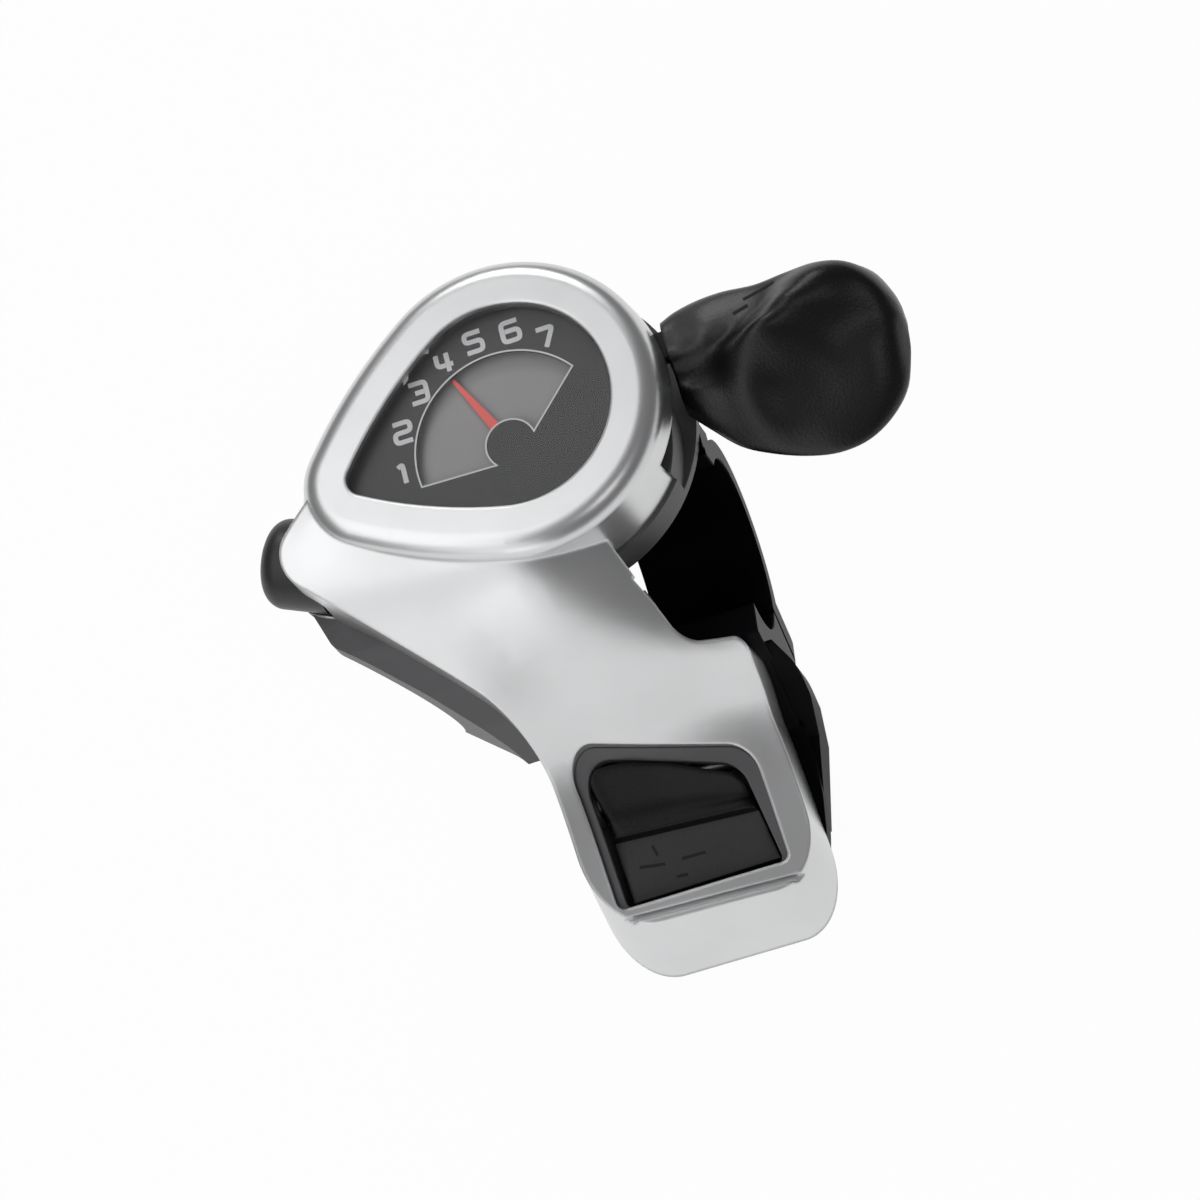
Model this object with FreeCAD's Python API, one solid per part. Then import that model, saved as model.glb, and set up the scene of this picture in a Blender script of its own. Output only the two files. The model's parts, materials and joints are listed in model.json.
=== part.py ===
import FreeCAD, Part
import math
import os
from FreeCAD import Vector

# Frame: the origin is the centre of the handlebar bore, X runs along the bar,
# Z points from the bar to the dial. Sizes are in millimetres, angles in degrees.

# Handlebar clamp
BAR_RADIUS = 11.1
BAR_SPARE = 0.5
CLAMP_HALF_WIDTH = 7.5
BAND_THICKNESS = 2.4
SPLIT_ANGLE = -122.0
SPLIT_GAP = 0.9
JAW_START = 153.0
JAW_THICKNESS = 5.0
BAND_START = 42.0
LUG_REACH = 12.0
LUG_THICKNESS = 3.4
JAW_LUG_THICKNESS = 6.4
BOLT_RADIUS = 2.5
BOLT_HEAD_RADIUS = 4.25
BOLT_HEAD_HEIGHT = 5.0
BOLT_SPARE = 0.25
NUT_HALF_WIDTH = 4.0
NUT_HEIGHT = 2.7

TAB_END = 24.5
TAB_RIGHT = 3.0
TAB_SCREW_X = (-4.6, 0.2)
TAB_SCREW_Y = 20.5
TAB_HEAD_RADIUS = 2.4
TAB_HEAD_HEIGHT = 1.6
TAB_SCREW_RADIUS = 1.5
WALL_RING_OUTER = 18.6

# Gauge head, seen from above
HUB_X = -13.0
HUB_Y = 11.1
HEAD_CENTRE_X = -12.0
HEAD_CENTRE_Y = 15.3
WINDOW_RADIUS = 13.1
TIP_X = -31.1
TIP_Y = 11.9
TIP_RADIUS = 2.3
SIDE_RADIUS = 60.0
SHOULDER_OUT = 6.0
SHOULDER_ROUND = 2.6
SHOULDER_HEIGHT = 2.9
SKIRT_OUT = 7.0
SKIRT_TIP_X = -40.4
SKIRT_TIP_Y = 6.6
SKIRT_TIP_RADIUS = 5.4

# Heights of the stack, from the floor up
FLOOR_BOTTOM = 12.6
FLOOR_THICKNESS = 1.6
PLATE_THICKNESS = 1.2
RUN_GAP = 0.3
FLANGE_THICKNESS = 0.6
GROOVE_WIDTH = 1.8
RATCHET_THICKNESS = 2.0
LEVER_THICKNESS = 2.0
SLEEVE_STAND = 0.4
DRIVER_THICKNESS = 0.5
CARRIER_THICKNESS = 0.6
DIAL_THICKNESS = 0.4
NEEDLE_GAP = 0.4
NEEDLE_THICKNESS = 0.4
MASK_THICKNESS = 0.3
LENS_FLANGE = 0.7
LENS_PLUG = 0.9
PLATEAU_THICKNESS = 1.7

# Walls and fits
WALL = 1.8
FIT = 0.05
SEAT = 0.1

# Mechanism radii, from the hub
AXLE_RADIUS = 2.5
SLEEVE_RADIUS = 4.8
DRUM_RADIUS = 7.9
FLANGE_RADIUS = 9.6
RATCHET_RADIUS = 10.6
TOOTH_DEPTH = 1.5
STEP_ANGLE = 20.2
STEPS = 6
LEVER_HUB_RADIUS = 10.5
PAWL_PIN_RADIUS = 1.2
PLATE_RADIUS = 16.6
NOTCHES = 13
SPRING_RADIUS = 6.2
SPRING_WIRE = 0.7
SPRING_DEPTH = 1.8
WIRE_RADIUS = 0.6

# Adjuster barrel, pointing out to the left
BARREL_END_X = -47.2
BARREL_END_Y = 10.0
BARREL_ANGLE = 155.0
BARREL_RADIUS = 5.6
BARREL_LENGTH = 8.5
BARREL_DOME = 2.4
STEM_RADIUS = 2.6
STEM_LENGTH = 5.5
SLEEVE_WALL = 1.3
HOUSING_SEAT_RADIUS = 2.6
HOUSING_SEAT_DEPTH = 6.0

# Lower right facet of the head and the slot that the lever swings in
FACET_LEFT_X = -6.6
FACET_LEFT_Y = -2.5
FACET_RIGHT_X = 6.2
FACET_RIGHT_Y = 3.4
FACET_LOW = 17.8
FACET_TOP = 24.0
FACET_CHAMFER = 2.6
FACET_START = -64.0
SLOT_START = -24.0
SLOT_END = 78.0

# Neck and tail, side view: y of each point from the gauge to the end, then z at seven stations of x
TOP_Y = [16.0, 6.0, -1.0, -7.0, -13.0, -17.0, -20.2, -24.6, -31.0, -38.5, -50.0]
TOP_STATIONS = [
    (-46.0, [26.2, 25.6, 21.6, 15.2, 7.6, 0.8, -5.3, -10.1, -13.9, -17.5, -22.5]),
    (-37.5, [27.0, 27.0, 23.6, 17.8, 10.9, 4.4, -1.7, -6.5, -10.3, -13.9, -18.9]),
    (-29.0, [27.0, 27.3, 25.0, 19.8, 13.4, 7.1, 1.0, -3.8, -7.6, -11.2, -16.2]),
    (-21.0, [26.8, 27.1, 26.2, 20.9, 13.2, 6.8, 0.7, -4.1, -7.9, -11.5, -16.5]),
    (-13.0, [26.2, 26.8, 26.6, 21.3, 12.9, 6.4, 0.3, -4.5, -8.3, -11.9, -16.9]),
    (-4.0, [21.8, 21.8, 20.8, 18.0, 12.4, 6.0, 0.0, -4.8, -8.6, -12.2, -17.2]),
    (12.0, [20.0, 19.8, 18.8, 16.2, 11.9, 5.7, -0.4, -5.2, -9.0, -12.6, -17.6])]
# Parting line between cover and base, side view as pairs of y and z
PARTING_LINE = [(-5.0, 14.6), (-10.6, 11.0), (-14.6, 5.0), (-17.6, -2.6), (-22.5, -10.5),
                (-46.5, -25.3)]
TAIL_LEFT = -24.6
TAIL_RIGHT = 6.4
TAIL_END = -45.5
LIP_Y = -14.6
NECK_RIGHT = -5.6
NOSE_BACK_X = -33.0
NOSE_BACK_Y = 16.5
NOSE_X = -46.2
NOSE_Y = 5.8
NOSE_RADIUS = 4.0
DIAG_X = -45.0
DIAG_Y = 3.0
TRAY_THICKNESS = 2.0
WINDOW_LEFT = -20.9
WINDOW_RIGHT = 1.2
WINDOW_TOP_LEFT = -18.6
WINDOW_TOP_RIGHT = -23.6
WINDOW_END = -36.9
CHIN_GROOVE_WIDTH = 0.7
CHIN_GROOVE_DEPTH = 0.7
CHIN_GROOVE_LEFT_Y = -37.9
CHIN_GROOVE_RIGHT_Y = -39.3

# Rib of the clamp jaw that runs beside the tail
RIB_SINK = 1.2
RIB_DEPTH = 5.5
RIB_OUT = 3.3
RIB_END = -38.0

# Release button
BUTTON_GAP = 0.45
BUTTON_LEFT_GAP = 1.5
BUTTON_TOP_GAP = 1.7
BUTTON_RIGHT_GAP = 2.6
BEZEL_SINK = 0.7
BEZEL_THICKNESS = 1.0
BUTTON_PIN_Y = -23.4
BUTTON_PIN_Z = -8.9
BUTTON_PIN_RADIUS = 1.2
BUTTON_KNUCKLE = 1.8
EAR_WIDTH = 1.2
BUTTON_TOP_Z = -1.6
SCOOP_MIDDLE_Y = -24.3
SCOOP_MIDDLE_Z = -6.8
SCOOP_END_Y = -28.6
SCOOP_END_Z = -8.5
SCOOP_STEP = 1.7
LIP_ROUND = 0.6
LEDGE_END_Z = -12.6
LEDGE_THICKNESS = 2.6
BUTTON_SPRING_RADIUS = 1.7
BUTTON_SPRING_WIRE = 0.4

# Release slider, a strip that slides round the bar under the neck
SLIDER_LEFT = -22.9
SLIDER_RIGHT = -17.4
SLIDER_INNER = 13.6
SLIDER_OUTER = 15.0
SLIDER_START = 97.0
SLIDER_END = 152.0
SLIDER_TRAVEL = 6.0
FINGER_TOP = 18.8
FINGER_WIDTH = 2.0

# Lever paddle: x of each section, then y and z of nine points over its top, from the far edge
# across the flange, the ridge and the dish to the near edge
PADDLE_SECTIONS = [
    (7.0, [(23.0, 19.0), (22.5, 21.3), (20.5, 22.0), (18.4, 22.0), (16.6, 21.2), (15.0, 19.8),
           (13.2, 20.2), (11.8, 19.4), (11.0, 17.4)]),
    (9.6, [(23.4, 19.2), (23.0, 21.5), (20.6, 22.3), (18.2, 22.3), (16.6, 21.0), (14.8, 19.6),
           (12.2, 21.0), (9.6, 19.8), (8.6, 17.2)]),
    (12.6, [(23.5, 19.4), (23.0, 21.8), (20.6, 22.9), (18.0, 23.2), (16.6, 22.0), (14.6, 21.4),
            (11.0, 21.6), (7.4, 19.2), (5.8, 16.9)]),
    (16.0, [(23.2, 19.6), (22.7, 22.0), (20.4, 22.9), (18.4, 23.2), (16.8, 23.2), (14.4, 25.2),
            (10.4, 22.6), (5.4, 19.2), (3.4, 16.6)]),
    (20.0, [(22.8, 19.8), (22.3, 22.2), (20.6, 22.9), (19.0, 23.6), (17.2, 25.6), (14.9, 27.1),
            (10.0, 21.8), (4.2, 18.6), (1.9, 16.3)]),
    (24.0, [(23.1, 20.0), (22.6, 22.4), (21.4, 23.6), (19.8, 25.6), (17.4, 27.3), (14.4, 25.8),
            (9.4, 21.2), (3.6, 18.4), (1.3, 16.3)]),
    (28.0, [(23.0, 20.2), (22.5, 22.8), (21.2, 25.0), (19.6, 26.6), (17.0, 26.4), (13.6, 23.8),
            (9.0, 21.2), (4.0, 18.6), (1.6, 16.4)]),
    (31.5, [(21.9, 20.2), (21.4, 22.6), (20.4, 24.6), (19.0, 25.4), (16.6, 24.8), (13.6, 23.0),
            (9.8, 21.6), (5.6, 19.2), (3.4, 16.9)]),
    (34.0, [(19.7, 19.8), (19.3, 21.6), (18.4, 23.2), (17.2, 23.8), (15.6, 23.4), (13.6, 22.4),
            (11.2, 21.4), (8.0, 19.4), (6.2, 17.5)]),
    (35.4, [(17.1, 19.2), (16.8, 20.4), (16.2, 21.2), (15.4, 21.6), (14.6, 21.5), (13.7, 21.2),
            (12.8, 20.6), (11.2, 19.2), (9.8, 18.0)]),
    (35.9, [(15.2, 18.9), (15.1, 19.3), (14.8, 19.6), (14.4, 19.8), (14.0, 19.8), (13.6, 19.7),
            (13.2, 19.5), (12.8, 19.1), (12.6, 18.7)])]
PADDLE_BACK = 15.4
PADDLE_EDGE = 1.8
PADDLE_END_BACK = 18.0
ARM_END = 25.0
ARM_PIN_ANGLE = 62.0
ARM_PIN_REACH = 14.2
FEED_NOSE_ANGLE = 92.0
FEED_CLEAR = 1.2
HOLD_POST_ANGLE = 158.0
HOLD_POST_REACH = 14.8
HOLD_NOSE_ANGLE = 192.0
HOLD_CLEAR = 0.4
HOLD_TAIL_ANGLE = 213.0
HOLD_TAIL_REACH = 13.4
PAWL_EYE = 2.5
PAWL_NOSE = 0.9
COLLAR_RADIUS = 1.9

# Dial
NEEDLE_ANGLE = 116.0
NEEDLE_LENGTH = 12.0
NEEDLE_ROOT = 0.8
NEEDLE_TIP = 0.22
SECTOR_OUTER = 11.9
SECTOR_INNER = 3.3
SECTOR_START = 37.4
SECTOR_END = 188.0
SECTOR_INNER_START = 16.0
SECTOR_INNER_END = 217.0
SPINDLE_RADIUS = 1.2
DRIVER_RADIUS = 6.0
CARRIER_OUT = 1.2

# Wire run
WIRE_STUB = 0.9
BEND_AT = 13.5
BEND_RADIUS = 12.0
HEAD_ANGLE = -12.0
HEAD_RADIUS = 1.9

# Cover bosses and their screws
BOSS_SPOTS = ((-12.0, 31.7), (-31.4, 21.3))
BOSS_RADIUS = 2.2
SCREW_RADIUS = 1.1
SCREW_HEAD_RADIUS = 2.2
SCREW_HEAD_HEIGHT = 1.3

FAR = 200.0


def circle_face(x, y, radius, z):
    edge = Part.makeCircle(radius, Vector(x, y, z), Vector(0, 0, 1))
    return Part.Face(Part.Wire([edge]))


def disc(radius, z_low, z_high, x=HUB_X, y=HUB_Y):
    return Part.makeCylinder(radius, z_high - z_low, Vector(x, y, z_low))


def ring(outer, inner, z_low, z_high, x=HUB_X, y=HUB_Y):
    return disc(outer, z_low, z_high, x, y).cut(disc(inner, z_low, z_high, x, y))


def bar(radius, x_low, x_high):
    return Part.makeCylinder(radius, x_high - x_low, Vector(x_low, 0, 0), Vector(1, 0, 0))


def polar(radius, angle, x=HUB_X, y=HUB_Y):
    turn = math.radians(angle)
    return (x + radius * math.cos(turn), y + radius * math.sin(turn))


def arc(start, middle, end, z):
    points = [Vector(p[0], p[1], z) for p in (start, middle, end)]
    return Part.Arc(*points).toShape()


def along(origin, target, length):
    span = math.hypot(target[0] - origin[0], target[1] - origin[1])
    return (origin[0] + (target[0] - origin[0]) * length / span,
            origin[1] + (target[1] - origin[1]) * length / span)


def egg(big, big_radius, tip, tip_radius, side, z):
    """Four tangent arcs: a round end, a pointed end and two long flat sides."""
    span = math.hypot(tip[0] - big[0], tip[1] - big[1])
    unit = ((tip[0] - big[0]) / span, (tip[1] - big[1]) / span)
    near = side - big_radius
    reach = side - tip_radius
    ahead = (near ** 2 - reach ** 2 + span ** 2) / (2 * span)
    aside = math.sqrt(near ** 2 - ahead ** 2)
    ends = []
    for sign in (1, -1):
        middle = (big[0] + ahead * unit[0] - sign * aside * unit[1],
                  big[1] + ahead * unit[1] + sign * aside * unit[0])
        at_big = along(middle, big, side)
        at_tip = along(middle, tip, side)
        halfway = along(middle, ((at_big[0] + at_tip[0]) / 2, (at_big[1] + at_tip[1]) / 2), side)
        ends.append((at_big, halfway, at_tip))
    upper, lower = ends
    far_big = (big[0] - unit[0] * big_radius, big[1] - unit[1] * big_radius)
    far_tip = (tip[0] + unit[0] * tip_radius, tip[1] + unit[1] * tip_radius)
    edges = [arc(lower[0], far_big, upper[0], z), arc(upper[0], upper[1], upper[2], z),
             arc(upper[2], far_tip, lower[2], z), arc(lower[2], lower[1], lower[0], z)]
    return Part.Wire(edges)


def dial_outline(out, z):
    return egg((HEAD_CENTRE_X, HEAD_CENTRE_Y), WINDOW_RADIUS + out, (TIP_X, TIP_Y),
               TIP_RADIUS + out, SIDE_RADIUS + out, z)


def skirt_outline(out, z):
    return egg((HEAD_CENTRE_X, HEAD_CENTRE_Y), WINDOW_RADIUS + SKIRT_OUT + out,
               (SKIRT_TIP_X, SKIRT_TIP_Y), SKIRT_TIP_RADIUS + out, SIDE_RADIUS + out, z)


def prism(wire, height):
    return Part.Face(wire).extrude(Vector(0, 0, height))


def dial_slab(out, z_low, z_high):
    return prism(dial_outline(out, z_low), z_high - z_low)


def rounded(corners, place, insets=None):
    """Wire through corners (u, v, radius) listed anticlockwise, each side moved in by its inset."""
    count = len(corners)
    insets = insets or [0.0] * count
    lines = []
    for index in range(count):
        start = corners[index]
        end = corners[(index + 1) % count]
        length = math.hypot(end[0] - start[0], end[1] - start[1])
        step = ((end[0] - start[0]) / length, (end[1] - start[1]) / length)
        base = (start[0] - step[1] * insets[index], start[1] + step[0] * insets[index])
        lines.append((base, step))
    points = []
    for index in range(count):
        (first, one), (second, two) = lines[index - 1], lines[index]
        cross = one[0] * two[1] - one[1] * two[0]
        travel = ((second[0] - first[0]) * two[1] - (second[1] - first[1]) * two[0]) / cross
        points.append((first[0] + one[0] * travel, first[1] + one[1] * travel))
    stops = []
    for index in range(count):
        one = lines[index - 1][1]
        two = lines[index][1]
        turn = math.atan2(one[0] * two[1] - one[1] * two[0], one[0] * two[0] + one[1] * two[1])
        radius = corners[index][2]
        back = radius * math.tan(abs(turn) / 2)
        here = points[index]
        start = (here[0] - one[0] * back, here[1] - one[1] * back)
        end = (here[0] + two[0] * back, here[1] + two[1] * back)
        side = 1 if turn > 0 else -1
        centre = (start[0] - one[1] * radius * side, start[1] + one[0] * radius * side)
        middle = along(centre, here, radius) if radius > 0 else here
        stops.append((start, middle, end, radius))
    edges = []
    for index in range(count):
        start, middle, end, radius = stops[index]
        following = stops[(index + 1) % count][0]
        if radius > 0:
            edges.append(Part.Arc(place(*start), place(*middle), place(*end)).toShape())
        edges.append(Part.makeLine(place(*end), place(*following)))
    return Part.Wire(edges)


def flat(z):
    return lambda u, v: Vector(u, v, z)


def upright(x):
    return lambda u, v: Vector(x, u, v)


def plate(corners, z_low, z_high):
    return prism(rounded(corners, flat(z_low)), z_high - z_low)


def side_slab(corners, x_low, x_high):
    return Part.Face(rounded(corners, upright(x_low))).extrude(Vector(x_high - x_low, 0, 0))


def bar_sector(inner, outer, start, end, x_low, x_high):
    """Part of a tube round the bar between two angles, counted from +Y towards +Z."""
    def spot(radius, angle):
        turn = math.radians(angle)
        return Vector(x_low, radius * math.cos(turn), radius * math.sin(turn))
    middle = (start + end) / 2
    edges = [Part.Arc(spot(outer, start), spot(outer, middle), spot(outer, end)).toShape(),
             Part.makeLine(spot(outer, end), spot(inner, end)),
             Part.Arc(spot(inner, end), spot(inner, middle), spot(inner, start)).toShape(),
             Part.makeLine(spot(inner, start), spot(outer, start))]
    return Part.Face(Part.Wire(edges)).extrude(Vector(x_high - x_low, 0, 0))


def turned_about_bar(shape, angle):
    copy = shape.copy()
    copy.rotate(Vector(0, 0, 0), Vector(1, 0, 0), angle)
    return copy


def fused(shapes):
    return shapes[0].multiFuse(shapes[1:]).removeSplitter()


# Heights that follow from the stack
FLOOR_TOP = FLOOR_BOTTOM + FLOOR_THICKNESS
PLATE_TOP = FLOOR_TOP + PLATE_THICKNESS
DRUM_LOW = PLATE_TOP + RUN_GAP
GROOVE_LOW = DRUM_LOW + FLANGE_THICKNESS
GROOVE_HIGH = GROOVE_LOW + GROOVE_WIDTH
WIRE_Z = (GROOVE_LOW + GROOVE_HIGH) / 2
RATCHET_TOP = GROOVE_HIGH + RATCHET_THICKNESS
LEVER_LOW = RATCHET_TOP + RUN_GAP
LEVER_TOP = LEVER_LOW + LEVER_THICKNESS
SLEEVE_TOP = LEVER_TOP + SLEEVE_STAND
DRIVER_TOP = SLEEVE_TOP + DRIVER_THICKNESS
CARRIER_LOW = DRIVER_TOP + RUN_GAP
DIAL_LOW = CARRIER_LOW + CARRIER_THICKNESS
NEEDLE_LOW = DIAL_LOW + DIAL_THICKNESS + NEEDLE_GAP
NEEDLE_HIGH = NEEDLE_LOW + NEEDLE_THICKNESS
MASK_LOW = NEEDLE_HIGH + NEEDLE_GAP
MASK_TOP = MASK_LOW + MASK_THICKNESS
LENS_SHELF = MASK_TOP + LENS_FLANGE
COVER_TOP = LENS_SHELF + PLATEAU_THICKNESS
BAR_FREE = BAR_RADIUS + BAR_SPARE


def barrel_point(inward):
    turn = math.radians(BARREL_ANGLE)
    return Vector(BARREL_END_X - inward * math.cos(turn), BARREL_END_Y - inward * math.sin(turn),
                  WIRE_Z)


def barrel_rod(radius, start, end):
    turn = math.radians(BARREL_ANGLE)
    inwards = Vector(-math.cos(turn), -math.sin(turn), 0)
    return Part.makeCylinder(radius, end - start, barrel_point(start), inwards)


def side_line(heights, inset):
    """One station's side view of the top surface, moved inwards by inset."""
    line = list(zip(TOP_Y, heights))
    moved = []
    for index, (y, z) in enumerate(line):
        before = line[max(index - 1, 0)]
        after = line[min(index + 1, len(line) - 1)]
        length = math.hypot(after[0] - before[0], after[1] - before[1])
        moved.append((y - (after[1] - before[1]) / length * inset,
                      z + (after[0] - before[0]) / length * inset))
    return moved


def under_top(inset):
    """Everything below the flowing top surface of the neck and tail."""
    wires = []
    for x, heights in TOP_STATIONS:
        points = [Vector(x, y, z) for y, z in side_line(heights, inset)]
        curve = Part.BSplineCurve()
        curve.interpolate(points)
        wires.append(Part.Wire([curve.toShape()]))
    surface = Part.makeLoft(wires, False, False)
    return surface.Faces[0].extrude(Vector(0, 0, -90))


def tail_plan(inset, diag_out=0.0):
    corners = [(NOSE_BACK_X, NOSE_BACK_Y, 1.0), (NOSE_X, NOSE_Y, NOSE_RADIUS), (TAIL_LEFT, -15.2, 14.0),
               (TAIL_LEFT, TAIL_END, 7.5), (TAIL_RIGHT - 0.4, TAIL_END - 0.4, 7.0),
               (TAIL_RIGHT + 0.4, -21.5, 8.0), (TAIL_RIGHT + 2.3, LIP_Y - 0.6, 1.2),
               (-1.2, LIP_Y + 0.4, 3.6), (NECK_RIGHT, -2.0, 3.0), (NECK_RIGHT, HUB_Y, 1.0)]
    low = [inset, inset - diag_out, inset, inset, inset, inset, inset, inset, inset, inset]
    slope = [0.0, 0.0, 2.5, 21.0, 4.0, 4.0, 0.0, 0.0, 0.0, 0.0]
    high = [a + b for a, b in zip(low, slope)]
    foot = rounded(corners, flat(-30.0), low)
    head = rounded(corners, flat(30.0), high)
    return Part.makeLoft([foot, head], True, True)


def below_parting(sink=0.0):
    corners = [(60.0, FLOOR_TOP - sink, 0.0), (0.0, FLOOR_TOP - sink, 2.0)]
    corners += [(y, z - sink, 4.0) for y, z in PARTING_LINE]
    corners += [(-80.0, PARTING_LINE[-1][1] - sink, 0.0), (-80.0, -80.0, 0.0), (60.0, -80.0, 0.0)]
    return side_slab(corners, -FAR, FAR)


def pie(start, end, z_low, z_high, reach=45.0):
    """A wedge round the hub between two angles."""
    middle = (start + end) / 2
    rim = arc(polar(reach, start), polar(reach, middle), polar(reach, end), z_low)
    centre = Vector(HUB_X, HUB_Y, z_low)
    first = Vector(*polar(reach, start), z_low)
    last = Vector(*polar(reach, end), z_low)
    wire = Part.Wire([Part.makeLine(centre, first), rim, Part.makeLine(last, centre)])
    return prism(wire, z_high - z_low)


def window_cut(out, z_low, z_high):
    corners = [(WINDOW_LEFT - out, WINDOW_TOP_LEFT + out, 3.5 + out),
               (WINDOW_LEFT - out, WINDOW_END, 1.0), (WINDOW_RIGHT + out, WINDOW_END, 1.0),
               (WINDOW_RIGHT + out, WINDOW_TOP_RIGHT + out, 3.5 + out)]
    return plate(corners, z_low, z_high)


def chin_groove():
    """Shallow groove across the tail, just past the end of the window."""
    half = CHIN_GROOVE_WIDTH / 2
    left = TAIL_LEFT - 4.0
    right = TAIL_RIGHT + 4.0
    corners = [(left, CHIN_GROOVE_LEFT_Y - half, 0.0), (right, CHIN_GROOVE_RIGHT_Y - half, 0.0),
               (right, CHIN_GROOVE_RIGHT_Y + half, 0.0), (left, CHIN_GROOVE_LEFT_Y + half, 0.0)]
    return plate(corners, -60.0, 60.0).cut(under_top(CHIN_GROOVE_DEPTH))


def make_cover():
    shoulder = COVER_TOP - SHOULDER_HEIGHT
    crown = dial_slab(SHOULDER_OUT, shoulder, COVER_TOP)
    rim = [edge for edge in crown.Edges if edge.BoundBox.ZMin > COVER_TOP - 0.01]
    crown = crown.makeFillet(SHOULDER_ROUND, rim)
    skirt = Part.makeLoft([skirt_outline(0.0, FLOOR_TOP), dial_outline(SHOULDER_OUT, shoulder)], True, True)
    head = crown.fuse(skirt)
    facet_corners = [(FACET_LEFT_X, FACET_LEFT_Y, 0.0), (FACET_RIGHT_X, FACET_RIGHT_Y, 2.0),
                     (FACET_RIGHT_X - 1.0, HUB_Y - 2.0, 0.0), (FACET_LEFT_X, HUB_Y - 4.0, 0.0)]
    facet = plate(facet_corners, FACET_LOW, FACET_TOP)
    front = [edge for edge in facet.Edges if edge.BoundBox.ZMin > FACET_TOP - 0.01
             and edge.BoundBox.YMin < HUB_Y - 4.5 and edge.BoundBox.XLength > 0.1
             and edge.BoundBox.YMax < HUB_Y - 2.5]
    facet = facet.makeChamfer(FACET_CHAMFER, front)
    low = skirt_outline(-WALL, FLOOR_TOP - 2.0)
    high = dial_outline(SHOULDER_OUT - WALL, LENS_SHELF)
    head_room = Part.makeLoft([low, high], True, True)
    tail = tail_plan(0.0).common(under_top(0.0)).cut(below_parting())
    tail_room = tail_plan(WALL).common(under_top(WALL))
    cover = fused([head, tail, facet])
    cover = cover.cut(head_room).cut(tail_room)
    for x, y in BOSS_SPOTS:
        cover = cover.fuse(disc(BOSS_RADIUS, FLOOR_TOP, CARRIER_LOW - RUN_GAP, x, y))
        cover = cover.cut(disc(SCREW_RADIUS, FLOOR_TOP, BOSS_HOLE_TOP, x, y))
    cover = cover.cut(dial_slab(0.0, LENS_SHELF - 1.0, COVER_TOP + 5.0))
    cover = cover.cut(window_cut(0.0, -60.0, 60.0)).cut(chin_groove())
    slot = pie(SLOT_START, SLOT_END, FLOOR_TOP - 1.0, LEVER_TOP + RUN_GAP)
    under_facet = pie(FACET_START, SLOT_START + 1.0, FLOOR_TOP - 1.0, FACET_LOW)
    cover = cover.cut(slot).cut(under_facet)
    cover = cover.cut(barrel_rod(BARREL_RADIUS + RUN_GAP, -5.0, BARREL_LENGTH + RUN_GAP))
    cover = cover.cut(barrel_rod(STEM_RADIUS + SLEEVE_WALL, BARREL_LENGTH, BARREL_LENGTH + STEM_LENGTH + 0.6))
    return cover.cut(spring_relief()).cut(bar(BAR_FREE, -FAR, FAR))


def base_neck():
    """Saddle under the neck: the side view between the parting line and the bar."""
    corners = [(8.0, FLOOR_BOTTOM, 0.0), (8.0, FLOOR_TOP, 0.0), (0.0, FLOOR_TOP, 2.0)]
    corners += [(y, z, 4.0) for y, z in PARTING_LINE[:4]]
    corners += [PARTING_LINE[4] + (0.0,), (-BAR_RADIUS - 3.0, -10.0, 0.0), (0.0, 0.0, 0.0)]
    slab = side_slab(corners, -FAR, NECK_RIGHT)
    plan_corners = [(HEAD_CENTRE_X - 18, HUB_Y, 1.0), (DIAG_X, DIAG_Y + 2.0, 2.5),
                    (DIAG_X + 2.2, DIAG_Y - 5.0, 2.5), (TAIL_LEFT, -18.6, 9.0), (TAIL_LEFT, -60.0, 0.0),
                    (NECK_RIGHT, -60.0, 0.0), (NECK_RIGHT, HUB_Y, 0.0)]
    plan = prism(rounded(plan_corners, flat(-60.0)), 120.0)
    under = Part.makeBox(FAR, FAR, 60.0, Vector(TAIL_LEFT + 0.5 - FAR, -FAR / 2, -63.0))
    return slab.common(plan).cut(under)


def base_tray():
    """Plate that closes the tail from below, along the parting line."""
    sunk = [(y, z - TRAY_THICKNESS) for y, z in PARTING_LINE[3:]]
    corners = [(y, z, 0.0) for y, z in PARTING_LINE[3:]] + [(y, z, 0.0) for y, z in reversed(sunk)]
    slab = side_slab(corners, -FAR, FAR)
    return slab.common(tail_plan(WALL + SEAT))


def jaw_lug(thickness, side):
    """Radial slab beside the split, drawn along +Y and then turned to the split."""
    low = SPLIT_GAP / 2
    start = BAR_RADIUS + 0.6
    end = BAR_RADIUS + LUG_REACH
    tip = CLAMP_HALF_WIDTH
    box = Part.makeBox(2 * tip, end - start, thickness, Vector(-tip, start, low))
    outer = [edge for edge in box.Edges if edge.BoundBox.YMin > end - 0.01
             and edge.BoundBox.ZLength > 0.1]
    box = box.makeFillet(4.0, outer)
    if side < 0:
        box = box.mirror(Vector(0, 0, 0), Vector(0, 0, 1))
    return turned_about_bar(box, SPLIT_ANGLE)


def bolt_rod(radius, start, end):
    """Cylinder along the clamp bolt, measured across the split."""
    rod = Part.makeCylinder(radius, end - start,
                            Vector(0, BAR_RADIUS + LUG_REACH * 0.58, start), Vector(0, 0, 1))
    return turned_about_bar(rod, SPLIT_ANGLE)


def bolt_nut():
    half = NUT_HALF_WIDTH
    centre_y = BAR_RADIUS + LUG_REACH * 0.58
    top = -(SPLIT_GAP / 2 + JAW_LUG_THICKNESS - 1.2)
    box = Part.makeBox(2 * half, 2 * half, NUT_HEIGHT, Vector(-half, centre_y - half, top))
    box = box.makeChamfer(0.8, [edge for edge in box.Edges if edge.BoundBox.ZLength > 0.1])
    return turned_about_bar(box, SPLIT_ANGLE)


def largest(shape):
    return max(shape.Solids, key=lambda solid: solid.Volume)


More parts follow.
